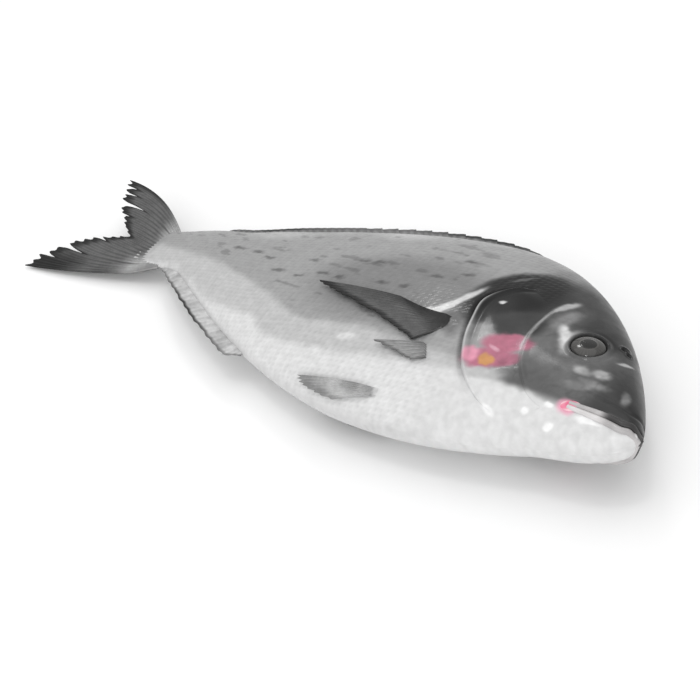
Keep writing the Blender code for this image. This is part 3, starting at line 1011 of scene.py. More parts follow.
def tube_parts(path: Array, radii: Array, tints: Array, sides: int) -> tuple[Array, Array, Array]:
    """Points, faces and colours of a tube with pinched ends.

    Args:
        path: Points of the middle line.
        radii: Radius at each point.
        tints: Colour at each point.
        sides: Points round the tube.

    Returns:
        Points, quads and colours.
    """
    run = np.gradient(path, axis=0)
    run /= np.linalg.norm(run, axis=1, keepdims=True) + 1e-12
    across = np.cross(run, np.array([0.13, 0.21, 0.97]))
    across /= np.linalg.norm(across, axis=1, keepdims=True) + 1e-12
    other = np.cross(run, across)
    turn = np.linspace(0, 2 * math.pi, sides, endpoint=False)
    ring = across[:, None] * np.cos(turn)[None, :, None]
    ring = ring + other[:, None] * np.sin(turn)[None, :, None]
    points = path[:, None] + ring * radii[:, None, None]
    count = len(path)
    index = np.arange(count * sides).reshape(count, sides)
    nxt = np.roll(index, -1, axis=1)
    quads = np.stack([index[:-1], index[1:], nxt[1:], nxt[:-1]], axis=-1).reshape(-1, 4)
    colours = np.repeat(tints[:, None], sides, axis=1)
    return points.reshape(-1, 3), quads, colours.reshape(-1, 4)


# ---- head and trunk skin ------------------------------------------------------------------


@dataclass(frozen=True)
class ScalePattern:
    """Shingled scales laid in rows from the lateral line, smaller towards the tail."""

    length: float = 0.0100
    row: float = 0.0092
    shrink: float = 0.45
    reach: float = 0.64
    soft: float = 0.13

    def height(self, form: FishForm, s: Array, q: Array) -> Array:
        """Relief of the scales between 0 and 1.

        Args:
            form: The fish, whose depth sets the size of the scales.
            s: Stations.
            q: Distances round the skin from the lateral line, as shares.

        Returns:
            Heights, highest at each scale's rear edge.
        """
        table = np.linspace(0, 1.1, 400)
        depth = (form.back(table) - form.belly(table)) / 0.43
        size = 1 - self.shrink * (1 - np.clip(depth, 0, 1))
        along = np.concatenate([[0], np.cumsum(np.diff(table) / (self.length * size[1:]))])
        a = np.interp(s, table, along)
        b = q / (self.row * np.interp(s, table, size))
        total = np.zeros_like(a)
        row0 = np.floor(2 * b)
        column0 = np.floor(a)
        for forward in (2, 1, 0, -1):
            for side in (-1, 0, 1, 2):
                row = row0 + side
                centre_a = column0 + forward - 0.5 * np.mod(row, 2)
                da, db = a - centre_a, b - 0.5 * row
                away = np.hypot(da, 1.05 * db)
                cover = 1 - ease(away, self.reach - self.soft, self.reach + self.soft)
                level = 0.5 + 0.5 * np.clip(da / self.reach, -1, 1)
                total = total + (level - total) * cover
        return total


@dataclass
class FlankSkin:
    """Skin of one side from the snout to the tail root, with scales and head relief."""

    form: FishForm
    plan: HeadPlan
    paint: SkinPaint
    flank: Flank
    head_rows: int = 190
    body_rows: int = 268
    columns: int = 206
    head_end: float = 0.34
    tail_end: float = 1.03
    sunk: float = 0.00030
    scale_proud: float = 0.00030
    scales: ScalePattern = field(default_factory=ScalePattern)
    lateral_line: tuple[Place, ...] = (
        (0.20, 0.190),
        (0.30, 0.190),
        (0.40, 0.175),
        (0.55, 0.140),
        (0.72, 0.085),
        (0.86, 0.054),
        (1.03, 0.046),
    )
    flecks: tuple[Place, ...] = (
        (0.79, 0.070),
        (0.75, 0.075),
        (0.72, 0.070),
        (0.68, 0.050),
        (0.64, 0.095),
        (0.635, 0.050),
        (0.60, 0.070),
        (0.565, 0.070),
        (0.555, 0.125),
        (0.53, 0.130),
        (0.49, 0.085),
        (0.45, 0.090),
        (0.42, 0.130),
        (0.40, 0.190),
        (0.38, 0.155),
    )

    def grid(self) -> tuple[Array, Array]:
        """Stations and section angles of the sheet, one step wider on every side."""
        head = self.head_end * np.linspace(0, 1, self.head_rows) ** 1.35
        body = np.linspace(self.head_end, self.tail_end, self.body_rows + 1)[1:]
        s = np.concatenate([head, body])
        s = np.concatenate([[s[0] - 1e-4], s, [s[-1] + 1e-3]])
        step = math.pi / (self.columns - 1)
        angle = np.linspace(-step, math.pi + step, self.columns + 2)
        return np.meshgrid(s, angle, indexing="ij")

    def lateral_height(self, s: Array) -> Array:
        """Height of the lateral line."""
        at, heights = zip(*self.lateral_line)
        return Track(at, heights)(s)

    def from_line(self, s: Array, y: Array, base: Array) -> Array:
        """Distance round the skin from the lateral line, as a share.

        Args:
            s: Stations of the grid.
            y: Heights of the grid.
            base: Bare skin points of the grid.

        Returns:
            Signed distances, positive towards the belly.
        """
        gaps = np.linalg.norm(np.diff(base, axis=1), axis=2)
        girth = np.concatenate([np.zeros((len(s), 1)), np.cumsum(gaps, axis=1)], axis=1)
        girth /= self.form.standard_length
        heights = self.lateral_height(s[:, 0])
        for i, height in enumerate(heights):
            girth[i] -= np.interp(-height, -y[i, 1:-1], girth[i, 1:-1])
        return girth

    def head_relief(self, s: Array, y: Array) -> Array:
        """Rise of the head's features above the bare skin in metres.

        Args:
            s: Stations.
            y: Heights.

        Returns:
            Rises in metres, negative where sunk.
        """
        ring = np.hypot(s - self.plan.eye[0], y - self.plan.eye[1]) / self.plan.eye_radius
        rise = -0.0018 * (1 - ease(ring, 0.86, 1.02))
        rise += 0.00045 * np.exp(-(((ring - 1.12) / 0.09) ** 2))
        rise -= 0.00022 * np.exp(-(((ring - 1.38) / 0.10) ** 2))
        for s0, y0, size in ((0.088, 0.118, 0.0042), (0.098, 0.124, 0.0055)):
            away = np.hypot(s - s0, y - y0) / size
            rise -= 0.0010 * (1 - ease(away, 0.5, 1.0))
            rise += 0.00022 * np.exp(-(((away - 1.25) / 0.3) ** 2))
        gap = y - self.plan.mouth_line(s)
        inside = 1 - ease(s, self.plan.mouth_corner[0] - 0.012, self.plan.mouth_corner[0] + 0.006)
        rise -= 0.0016 * inside * np.exp(-((gap / 0.0035) ** 2))
        fold = np.exp(-(((gap - 0.022 - 0.12 * s) / 0.004) ** 2)) * inside
        rise -= 0.00035 * fold
        jaw = np.exp(-(((gap + 0.018 + 0.08 * s) / 0.004) ** 2)) * inside
        rise -= 0.00030 * jaw
        cheek = self.plan.along(self.plan.cheek_edge, np.linspace(0, 1, 40))
        away, where = distance_to(cheek, s, y)
        ends = ease(where, 0.0, 0.12) * (1 - ease(where, 0.88, 1.0))
        side = np.where(s > np.interp(y, cheek[::-1, 1], cheek[::-1, 0]), 1.0, -1.0)
        rise += 0.00035 * ends * np.exp(-(((away * side + 0.003) / 0.004) ** 2))
        rise -= 0.00040 * ends * np.exp(-(((away * side - 0.003) / 0.0028) ** 2))
        gill = self.plan.along(self.plan.gill_edge, np.linspace(0, 1, 48))
        away, where = distance_to(gill, s, y)
        slit = ease(where, 0.0, 0.10) * (1 - ease(where, 0.60, 0.95))
        rise -= 0.0010 * (1 - ease(away, 0.002, 0.008)) * slit
        rise += 0.0010 * oval(s, y, (0.331, 0.040), (0.020, 0.024), 60, 0.6)
        return rise

    def relief(self, s: Array, y: Array, angle: Array, base: Array) -> tuple[Array, Array]:
        """Rise of the whole sheet and the scale height used for its painted scale shading.

        Args:
            s: Stations.
            y: Heights.
            angle: Section angles.
            base: Bare skin points.

        Returns:
            Rises in metres, and scale heights between 0 and 1.
        """
        away = self.from_line(s, y, base)
        pattern = self.scales.height(self.form, s, away)
        seam = ease(np.sin(np.clip(angle, 0, math.pi)), 0.02, 0.30)
        body = ease(s - 0.10 * np.clip(0.2 - y, 0, 0.3), 0.215, 0.30)
        cheek = ease(s, 0.20, 0.26) * 0.35 * (1 - body)
        cover = seam * (body + cheek) * (1 - ease(s, 0.985, 1.02))
        rise = self.scale_proud * (pattern - 0.5) * cover
        line = np.exp(-((away / 0.0028) ** 2)) * ease(s, 0.30, 0.34) * (1 - ease(s, 0.96, 1.0))
        beads = 0.6 + 0.4 * np.cos(2 * math.pi * s / 0.0105)
        rise += 0.00018 * line * beads * seam
        rise += self.head_relief(s, y) * ease(np.sin(np.clip(angle, 0, math.pi)), 0.0, 0.12)
        lumps = layered_noise(base, 0.030, 91, 2)
        folds = layered_noise(base * np.array([0.5, 1.0, 1.0]), 0.010, 33, 2)
        rise += seam * (0.00028 * lumps + 0.00009 * folds * (1 - ease(s, 0.24, 0.30)))
        return rise, pattern * cover

    def tints(self, s: Array, y: Array, away_scale: Array) -> Array:
        """Colours of the sheet, with its flecks, painted shade and light on the scales, and painted shade
        round the eye, in the mouth, the nostrils and the gill opening.

        Args:
            s: Stations.
            y: Heights.
            away_scale: Scale heights, 0 where the skin has none.

        Returns:
            Linear colours.
        """
        colours = self.paint.colours(s, y, self.flank)
        # painted shade and light on the scales: each scale darker at its sunk front and lighter at its
        # raised rear edge
        on_body = ease(s, 0.22, 0.32)
        flecks_and_shade = 1 + on_body * 0.20 * (away_scale - 0.50)
        spots = np.stack([s, y, 0 * s], axis=-1)
        js = s + 0.005 * layered_noise(spots, 0.008, 51, 2)
        jy = y + 0.004 * layered_noise(spots, 0.006, 53, 2)
        dots = np.zeros_like(s)
        for i, (s0, y0) in enumerate(self.flecks):
            size = (0.0085 if i % 3 else 0.012, 0.0042)
            dots = np.maximum(dots, oval(js, jy, (s0, y0), size, -14, 0.6))
        flecks_and_shade = flecks_and_shade * (1 - 0.56 * dots)
        # painted shade: skin darkened in the socket round the eye
        ring = np.hypot(s - self.plan.eye[0], y - self.plan.eye[1]) / self.plan.eye_radius
        flecks_and_shade = flecks_and_shade * (1 - 0.75 * (1 - ease(ring, 0.98, 1.10)))
        # painted shade: dark line in the slit between the lips
        gap = np.abs(y - self.plan.mouth_line(s))
        mouth = (1 - ease(s, 0.088, 0.100)) * (1 - ease(gap, 0.002, 0.005))
        flecks_and_shade = flecks_and_shade * (1 - 0.8 * mouth)
        # painted shade in the two nostril pits
        for s0, y0, size in ((0.088, 0.118, 0.0042), (0.098, 0.124, 0.0055)):
            flecks_and_shade = flecks_and_shade * (1 - 0.8 * (1 - ease(np.hypot(s - s0, y - y0) / size, 0.5, 1.1)))
        # painted shade in the gill opening just behind the cover's rear edge
        gill = self.plan.along(self.plan.gill_edge, np.linspace(0, 1, 48))
        away, where = distance_to(gill, s, y)
        slit = ease(where, 0.02, 0.2) * (1 - ease(where, 0.55, 0.72))
        flecks_and_shade = flecks_and_shade * (1 - 0.55 * (1 - ease(away, 0.002, 0.007)) * slit)
        colours[..., :3] *= flecks_and_shade[..., None]
        return colours

    def build(self, maker: PieceMaker, finish: bpy.types.Material) -> bpy.types.Object:
        """Make the sheet.

        Args:
            maker: Makes the piece.
            finish: The skin's finish.

        Returns:
            The piece.
        """
        s, angle = self.grid()
        y, n = self.form.section(s, angle, self.flank)
        n = n * (1 - 0.8 * ease(s, 0.985, self.tail_end))
        base = self.form.place(s, y, n)
        normals = self.normals(base)
        rise, scale_height = self.relief(s, y, angle, base)
        points = base + normals * (rise - self.sunk)[..., None]
        smooth = self.normals(points)[1:-1, 1:-1]
        points, inner = points[1:-1, 1:-1], (slice(1, -1), slice(1, -1))
        snout = self.form.place(0.0, 0.0, 0.0)
        points[0] = snout + 0.35 * (points[0] - snout)
        faces = grid_faces(*points.shape[:2])
        if self.flank is Flank.LEFT:
            faces = faces[:, ::-1]
        tints = self.tints(s[inner], y[inner], scale_height[inner])
        name = f"skin_{self.flank.tag}"
        piece = maker.piece(name, points, faces, tints, finish, mend=False)
        piece.data.normals_split_custom_set_from_vertices(smooth.reshape(-1, 3).tolist())
        return piece

    def normals(self, points: Array) -> Array:
        """Outward unit normals of the grid."""
        down = np.gradient(points, axis=1)
        along = np.gradient(points, axis=0)
        normal = np.cross(along, down) * self.flank.value
        return normal / (np.linalg.norm(normal, axis=-1, keepdims=True) + 1e-15)


# ---- head parts -----------------------------------------------------------------------------


@dataclass
class GillCover:
    """Bony plate from the cheek edge to the gill opening, with a rolled rear rim, a painted highlight on
    the rim and painted shade in its groove and along its front.
    """

    form: FishForm
    plan: HeadPlan
    paint: SkinPaint
    flank: Flank
    rows: int = 150
    columns: int = 120
    thickness: float = 0.0007
    proud: float = 0.0009
    rim: float = 0.0004

    def build(self, maker: PieceMaker, finish: bpy.types.Material) -> bpy.types.Object:
        """Make the plate.

        Args:
            maker: Makes the piece.
            finish: The skin's finish.

        Returns:
            The piece.
        """
        u = np.linspace(0, 1, self.rows)
        v = np.linspace(0, 1, self.columns)
        front = self.plan.along(self.plan.cheek_edge, 0.04 + 0.90 * u)
        rear = self.plan.along(self.plan.gill_edge, 0.02 + 0.94 * u)
        share = v[None, :, None]
        spots = front[:, None] * (1 - share) + rear[:, None] * share
        s, y = spots[..., 0], spots[..., 1]
        across = np.broadcast_to(v[None, :], s.shape)
        down = np.broadcast_to(u[:, None], s.shape)
        lift = ease(across, 0.0, 0.75)
        ends = ease(down, 0.0, 0.12) * (1 - ease(down, 0.62, 0.98))
        roll = np.exp(-(((across - 0.95) / 0.035) ** 2))
        groove = np.exp(-(((across - 0.84) / 0.05) ** 2))
        lines = np.sin(9 * math.pi * down + 5 * across) * 0.00006 * across
        seam = np.exp(-(((down - 0.62 - 0.15 * across) / 0.018) ** 2))
        top = -0.00035 + ends * lift * self.proud + ends * (self.rim * roll - 0.00018 * groove)
        top = top + lines * ends - 0.00022 * seam * ends
        world = self.form.on_flank(s, y, self.flank)
        top = top + 0.00012 * layered_noise(world, 0.012, 17, 2) * ends
        top = top - 0.0005 * ease(across, 0.97, 1.0)
        outer = self.form.on_flank(s, y, self.flank, top)
        inner = self.form.on_flank(s, y, self.flank, np.minimum(top - self.thickness, -0.0004))
        colours = self.paint.colours(s, y, self.flank)
        fade = 1 - ease(down, 0.50, 0.75)
        # painted highlight on the rolled rim (pale) and painted shade in the groove inside it (dark), both
        # fading towards the lower end
        pale = np.exp(-(((across - 0.965) / 0.022) ** 2)) * ease(down, 0.15, 0.35) * fade
        dark = np.exp(-(((across - 0.87) / 0.045) ** 2)) * ease(down, 0.05, 0.2) * fade
        colours[..., :3] *= (1 - 0.45 * dark)[..., None]
        colours[..., :3] += (0.62 - colours[..., :3]) * (0.62 * pale)[..., None]
        # painted shade along the front edge, where the plate tucks under the cheek
        front_shade = (1 - ease(across, 0.0, 0.04))[..., None]
        colours[..., :3] *= 1 - 0.30 * front_shade
        return maker.thin_solid(f"gill_cover_{self.flank.tag}", outer, inner, colours, finish)


@dataclass
class Eye:
    """Glossy domed eye with a dark iris, a black pupil and painted shade round its edge, where it sits in
    the socket.
    """

    form: FishForm
    plan: HeadPlan
    flank: Flank
    rings: int = 48
    spokes: int = 96
    bulge: float = 0.0013
    seat: float = 0.0020
    pupil: float = 0.46

    def build(self, maker: PieceMaker, finish: bpy.types.Material) -> bpy.types.Object:
        """Make the eye.

        Args:
            maker: Makes the piece.
            finish: The eye's finish.

        Returns:
            The piece.
        """
        radius = self.plan.eye_radius * 0.97
        r = np.linspace(0, 1, self.rings)[:, None]
        turn = np.linspace(0, 2 * math.pi, self.spokes + 1)[None, :]
        s = self.plan.eye[0] + radius * r * np.cos(turn)
        y = self.plan.eye[1] + radius * r * np.sin(turn)
        dome = np.sqrt(np.clip(1 - (0.94 * r) ** 2, 0, 1)) - math.sqrt(1 - 0.94**2)
        dome = dome / (1 - math.sqrt(1 - 0.94**2))
        rise = -0.0007 + self.bulge * dome + 0 * turn
        step = 0.08 * (1 - ease(r, self.pupil - 0.03, self.pupil + 0.02))
        rise = rise + 0.0010 * step
        outer = self.form.on_flank(s, y, self.flank, rise)
        back = self.form.on_flank(s, y, self.flank, rise * 0 - self.seat - 0.0007)
        fibres = 0.85 + 0.15 * np.sin(37 * turn + 3 * np.sin(5 * turn)) * ease(r, 0.5, 0.7)
        grey = np.where(r < self.pupil, 0.008, 0.052) * fibres
        glow = np.exp(-(((r - self.pupil - 0.05) / 0.03) ** 2))
        grey = grey + 0.05 * glow * (0.6 + 0.4 * np.sin(turn + 0.6))
        # painted shade: the outer edge darkened where the eye sinks into its socket
        grey = grey * (1 - 0.7 * ease(r, 0.86, 0.97))
        gold = np.array([1.04, 1.0, 0.94])
        colours = np.concatenate([grey[..., None] * gold, np.ones(grey.shape + (1,))], axis=-1)
        return maker.thin_solid(f"eye_{self.flank.tag}", outer, back, colours, finish)


@dataclass
class Mouth:
    """Lips that run round the snout, a row of small teeth and the pink corners."""

    form: FishForm
    plan: HeadPlan
    paint: SkinPaint
    lip_radius: float = 0.00105
    steps: int = 170
    gape: float = 0.0040
    teeth: int = 17

    def lip_line(self, offset: float, inset: float) -> tuple[Array, Array, Array]:
        """Path of a lip from the right corner round the snout to the left corner.

        Args:
            offset: Height above the mouth line.
            inset: How far the path lies under the skin, in metres.

        Returns:
            World points, stations and heights.
        """
        t = np.linspace(-1, 1, self.steps)
        reach = np.abs(t) ** 1.6
        s = 0.0030 + (self.plan.mouth_corner[0] - 0.0060) * reach
        y = self.plan.mouth_line(s) + offset * (1 - 0.35 * np.abs(t) ** 3)
        n = self.form.outward(s, y, Flank.RIGHT)
        left = self.form.outward(s, y, Flank.LEFT)
        side = np.sign(t) * ease(np.abs(t), 0.0, 0.25)
        n = np.where(t > 0, n, left) * side - side * inset / self.form.standard_length
        return self.form.place(s, y, n), s, y

    def lip(
        self,
        name: str,
        offset: float,
        grey: Place,
        maker: PieceMaker,
        finish: bpy.types.Material,
    ) -> None:
        """Make one lip.

        Args:
            name: The piece's name.
            offset: Height above the mouth line.
            grey: Display tones of the lip in front and at the side.
            maker: Makes the piece.
            finish: The skin's finish.
        """
        path, s, _ = self.lip_line(offset, 0.0003)
        radii = self.lip_radius * (0.75 + 0.25 * ease(-s, -0.10, -0.03))
        wander = layered_noise(path, 0.006, 61, 2)
        bare = ease(s, 0.038, 0.055)
        tone = grey[0] + (grey[1] - grey[0]) * bare
        tone = to_linear(np.clip(tone + 0.12 * wander, 0, 1)) * self.paint.exposure
        tints = np.stack([tone, tone * 0.97, tone * 0.97, np.ones_like(tone)], axis=-1)
        maker.tube(name, path, radii, tints, finish, 14)

    def make_teeth(self, maker: PieceMaker, finish: bpy.types.Material) -> None:
        """Make the row of teeth under the upper lip."""
        path, _, _ = self.lip_line(0.3 * self.gape, 0.0006)
        points, faces, colours, start = [], [], [], 0
        picks = np.linspace(10, self.steps - 11, 2 * self.teeth).astype(int)
        down = self.form.place(0.05, -0.01, 0.0) - self.form.place(0.05, 0.0, 0.0)
        down /= np.linalg.norm(down)
        for i in picks:
            length = 0.0011 + 0.0002 * math.sin(2.7 * i)
            t = np.linspace(0, 1, 6)[:, None]
            line = path[i] - down * 0.0005 + down * length * t
            radii = 0.00050 * np.sqrt(np.clip(1 - t[:, 0] ** 2, 0.02, 1))
            tint = np.tile([0.66, 0.65, 0.62, 1.0], (len(line), 1))
            p, f, c = tube_parts(line, radii, tint, 8)
            points.append(p)
            faces.append(f + start)
            colours.append(c)
            start += len(p)
        parts = [np.concatenate(x) for x in (points, faces, colours)]
        maker.piece("teeth", parts[0], parts[1], parts[2], finish)

    def corner(self, flank: Flank, maker: PieceMaker, finish: bpy.types.Material) -> None:
        """Make the pink flesh at one corner of the mouth.

        Args:
            flank: The side.
            maker: Makes the piece.
            finish: The flesh's finish.
        """
        r = np.linspace(0, 1, 16)[:, None]
        turn = np.linspace(0, 2 * math.pi, 33)[None, :]
        tilt = math.radians(-12)
        a, b = 0.0150 * r * np.cos(turn), 0.0080 * r * np.sin(turn)
        s = self.plan.mouth_corner[0] - 0.006 + a * math.cos(tilt) - b * math.sin(tilt)
        y = self.plan.mouth_corner[1] + 0.001 - a * math.sin(tilt) * -1 + b * math.cos(tilt)
        rise = -0.0006 + 0.0009 * np.sqrt(1 - 0.96 * r * r) + 0 * turn
        outer = self.form.on_flank(s, y, flank, rise)
        inner = self.form.on_flank(s, y, flank, rise * 0 - 0.0016)
        wander = layered_noise(outer, 0.002, 8, 2)[..., None]
        rose = np.array([0.72, 0.20, 0.30]) + wander * np.array([0.10, 0.16, 0.14])
        pale = ease(r + 0.2 * np.sin(3 * turn), 0.7, 1.0)[..., None]
        rose = rose + (np.array([0.78, 0.52, 0.56]) - rose) * pale
        colours = np.concatenate([np.clip(rose, 0, 1), np.ones(rose.shape[:2] + (1,))], axis=-1)
        maker.thin_solid(f"mouth_corner_{flank.tag}", outer, inner, colours, finish)

    def build(self, maker: PieceMaker, rack: FinishRack) -> None:
        """Make all parts of the mouth.

        Args:
            maker: Makes the pieces.
            rack: The finishes.
        """
        self.lip("lip_upper", self.gape, (0.30, 0.80), maker, rack.skin)
        self.lip("lip_lower", -self.gape, (0.78, 0.92), maker, rack.skin)
        self.make_teeth(maker, rack.bone)
        for flank in Flank:
            self.corner(flank, maker, rack.flesh)


# ---- fins -------------------------------------------------------------------------------------


@dataclass
class Fin:
    """Thin web over stiff rays; each kind of fin says where its rays start and end."""

    form: FishForm
    rays: int = 12
    samples: int = 9
    steps: int = 60
    root_thickness: float = 0.0012
    edge_thickness: float = 0.00045
    web_share: float = 0.45
    ragged: float = 0.02
    web_tone: float = 0.40
    ray_tone: float = 0.32
    margin_tone: float = 0.15
    margin: float = 0.12
    seed: int = 3

    def name(self) -> str:
        """Name of the piece."""
        raise NotImplementedError

    def where(self, u: Array, v: Array) -> tuple[Array, Array]:
        """Fin points in fish terms.

        Args:
            u: Share across the rays.
            v: Share from the root to the edge.

        Returns:
            Stations and heights.
        """
        raise NotImplementedError

    def faces_of(self, s: Array, y: Array, u: Array, v: Array, thick: Array) -> tuple[Array, Array]:
        """Both faces of the fin in metres, in its own plane by default.

        Args:
            s: Stations.
            y: Heights.
            u: Share across the rays.
            v: Share from the root.
            thick: Thickness in metres.

        Returns:
            Two grids of points.
        """
        half = thick / (2 * self.form.standard_length)
        wave = self.wave(u, v) / self.form.standard_length
        return self.form.place(s, y, wave + half), self.form.place(s, y, wave - half)

    def wave(self, u: Array, v: Array) -> Array:
        """Sideways curl of the fin in metres."""
        return 0.0 * u * v

    def ray(self, u: Array, v: Array) -> Array:
        """Ray height between 0 in the web and 1 on a ray; rays fork outward."""
        first = 0.5 + 0.5 * np.cos(2 * math.pi * u * (self.rays - 1))
        second = 0.5 + 0.5 * np.cos(4 * math.pi * u * (self.rays - 1))
        fork = ease(v, 0.45, 0.75)
        return first**1.6 * (1 - fork) + fork * np.maximum(second**1.6 * 0.8, first**2 * 0.7)

    def edge_reach(self, u: Array) -> Array:
        """How far each ray reaches, as a share of its full length."""
        tufts = value_noise(np.stack([u * self.rays * 1.7, 0 * u, 0 * u], -1), 1.0, self.seed)
        web = 0.5 - 0.5 * np.cos(2 * math.pi * u * (self.rays - 1))
        return 1 - self.ragged * (0.9 * tufts + 0.7 * web)

    def tone(self, u: Array, v: Array, ray: Array) -> Array:
        """Display tone of the fin.

        Args:
            u: Share across the rays; not used here.
            v: Share from the root.
            ray: Ray height.

        Returns:
            Greys between 0 and 1.
        """
        grey = self.web_tone + (self.ray_tone - self.web_tone) * ray
        edge = ease(v, 1 - 1.6 * self.margin, 1 - 0.3 * self.margin)
        return grey + (self.margin_tone - grey) * edge

    def build(self, maker: PieceMaker, finish: bpy.types.Material) -> bpy.types.Object:
        """Make the fin.

        Args:
            maker: Makes the piece.
            finish: The fin's finish.

        Returns:
            The piece.
        """
        count = (self.rays - 1) * self.samples + 1
        u, v = np.meshgrid(np.linspace(0, 1, count), np.linspace(0, 1, self.steps), indexing="ij")
        reach = v * self.edge_reach(u)
        s, y = self.where(u, reach)
        ray = self.ray(u, v)
        base = self.root_thickness + (self.edge_thickness - self.root_thickness) * v
        joints = 1 + 0.06 * np.cos(2 * math.pi * v * 22) * ease(v, 0.2, 0.4)
        thick = base * (self.web_share + (1 - self.web_share) * ray * joints)
        front, back = self.faces_of(s, y, u, v, thick)
        wander = layered_noise(np.stack([s, y, 0 * s + self.seed], -1), 0.02, self.seed + 7)
        grey = FIN_EXPOSURE * to_linear(self.tone(u, v, ray) * (1 + FIN_WANDER * wander))
        colours = np.stack([grey, grey, grey, np.ones_like(grey)], axis=-1)
        return maker.thin_solid(self.name(), front, back, colours, finish)


def curve_through(points: Sequence[Place], t: Array) -> Array:
    """Points along straight pieces joined end to end, t from 0 to 1 by number of points."""
    pts = np.array(points)
    at = np.linspace(0, 1, len(pts))
    return np.stack([np.interp(t, at, pts[:, 0]), np.interp(t, at, pts[:, 1])], axis=-1)


def bow(start: Place, pull: Place, end: Place, t: Array) -> Array:
    """Points of one bowed curve from start to end, drawn towards pull, t from 0 to 1."""
    w = np.asarray(t, float)[..., None]
    first, middle, last = np.array(start), np.array(pull), np.array(end)
    return (1 - w) ** 2 * first + 2 * w * (1 - w) * middle + w * w * last


@dataclass
class TailFin(Fin):
    """Forked tail fin with a ragged, dark rear margin."""

    rays: int = 25
    samples: int = 10
    steps: int = 84
    root_thickness: float = 0.0017
    edge_thickness: float = 0.0006
    ragged: float = 0.05
    web_tone: float = 0.42
    ray_tone: float = 0.31
    margin_tone: float = 0.08
    base_lift: float = 0.34
    base_curve: float = 0.10
    base_fade: tuple[float, float] = (0.20, 0.46)
    splits: tuple[tuple[float, float, float], ...] = (
        (0.055, 0.007, 0.10),
        (0.115, 0.007, 0.14),
        (0.205, 0.011, 0.30),
        (0.300, 0.007, 0.10),
        (0.640, 0.007, 0.09),
        (0.800, 0.009, 0.22),
        (0.900, 0.007, 0.10),
    )
    upper_tip: Place = (1.20, 0.145)
    upper_bow: Place = (1.165, 0.075)
    fork: Place = (1.08, 0.04)
    lower_bow: Place = (1.21, 0.005)
    lower_tip: Place = (1.247, -0.11)
    root_s: float = 0.955
    root_top: float = 0.071
    root_bottom: float = 0.004
    upper_pull: Place = (1.075, 0.16)
    lower_pull: Place = (1.12, -0.075)

    def name(self) -> str:
        """Name of the piece."""
        return "tail_fin"

    def where(self, u: Array, v: Array) -> tuple[Array, Array]:
        """Tail points in fish terms.

        Args:
            u: Share from the upper to the lower edge.
            v: Share from the root to the edge.

        Returns:
            Stations and heights.
        """
        upper = bow(self.upper_tip, self.upper_bow, self.fork, 2 * u)
        lower = bow(self.fork, self.lower_bow, self.lower_tip, 2 * u - 1)
        ends = np.where((u < 0.5)[..., None], upper, lower)
        root_y = self.root_top + (self.root_bottom - self.root_top) * u
        weight = np.abs(2 * u - 1) ** 1.5
        pull = np.where((u < 0.5)[..., None], np.array(self.upper_pull), np.array(self.lower_pull))
        straight = np.stack([(self.root_s + ends[..., 0]) / 2, (root_y + ends[..., 1]) / 2], -1)
        middle = straight + (pull - straight) * weight[..., None]
        root = np.stack([np.full_like(root_y, self.root_s), root_y], -1)
        w = v[..., None]
        spots = (1 - w) ** 2 * root + 2 * w * (1 - w) * middle + w * w * ends
        return spots[..., 0], spots[..., 1]

    def tone(self, u: Array, v: Array, ray: Array) -> Array:
        """Tail tone, paler at the base and black along the rear margin and lower tip.

        Args:
            u: Share from the upper to the lower edge.
            v: Share from the root.
            ray: Ray height.

        Returns:
            Greys between 0 and 1.
        """
        grey = self.web_tone + (self.ray_tone - self.web_tone) * ray
        spread = v + self.base_curve * np.abs(u - 0.5)
        grey = grey + self.base_lift * (1 - ease(spread, *self.base_fade))
        low_tip = ease(u, 0.78, 0.94) * ease(v, 0.50, 0.80)
        high_tip = ease(-u, -0.05, 0.0) * ease(v, 0.3, 0.7)
        edge = np.maximum(ease(v, 0.84, 0.97), np.maximum(low_tip, high_tip))
        return grey + (self.margin_tone - grey) * edge * 0.9

    def wave(self, u: Array, v: Array) -> Array:
        """Gentle curl of the two lobes."""
        return 0.0006 * np.sin(2 * math.pi * u) * v

    def edge_reach(self, u: Array) -> Array:
        """Ray reach with a few deep splits between tufts."""
        reach = super().edge_reach(u)
        for at, width, depth in self.splits:
            reach = reach - depth * np.exp(-(((u - at) / width) ** 2))
        return reach


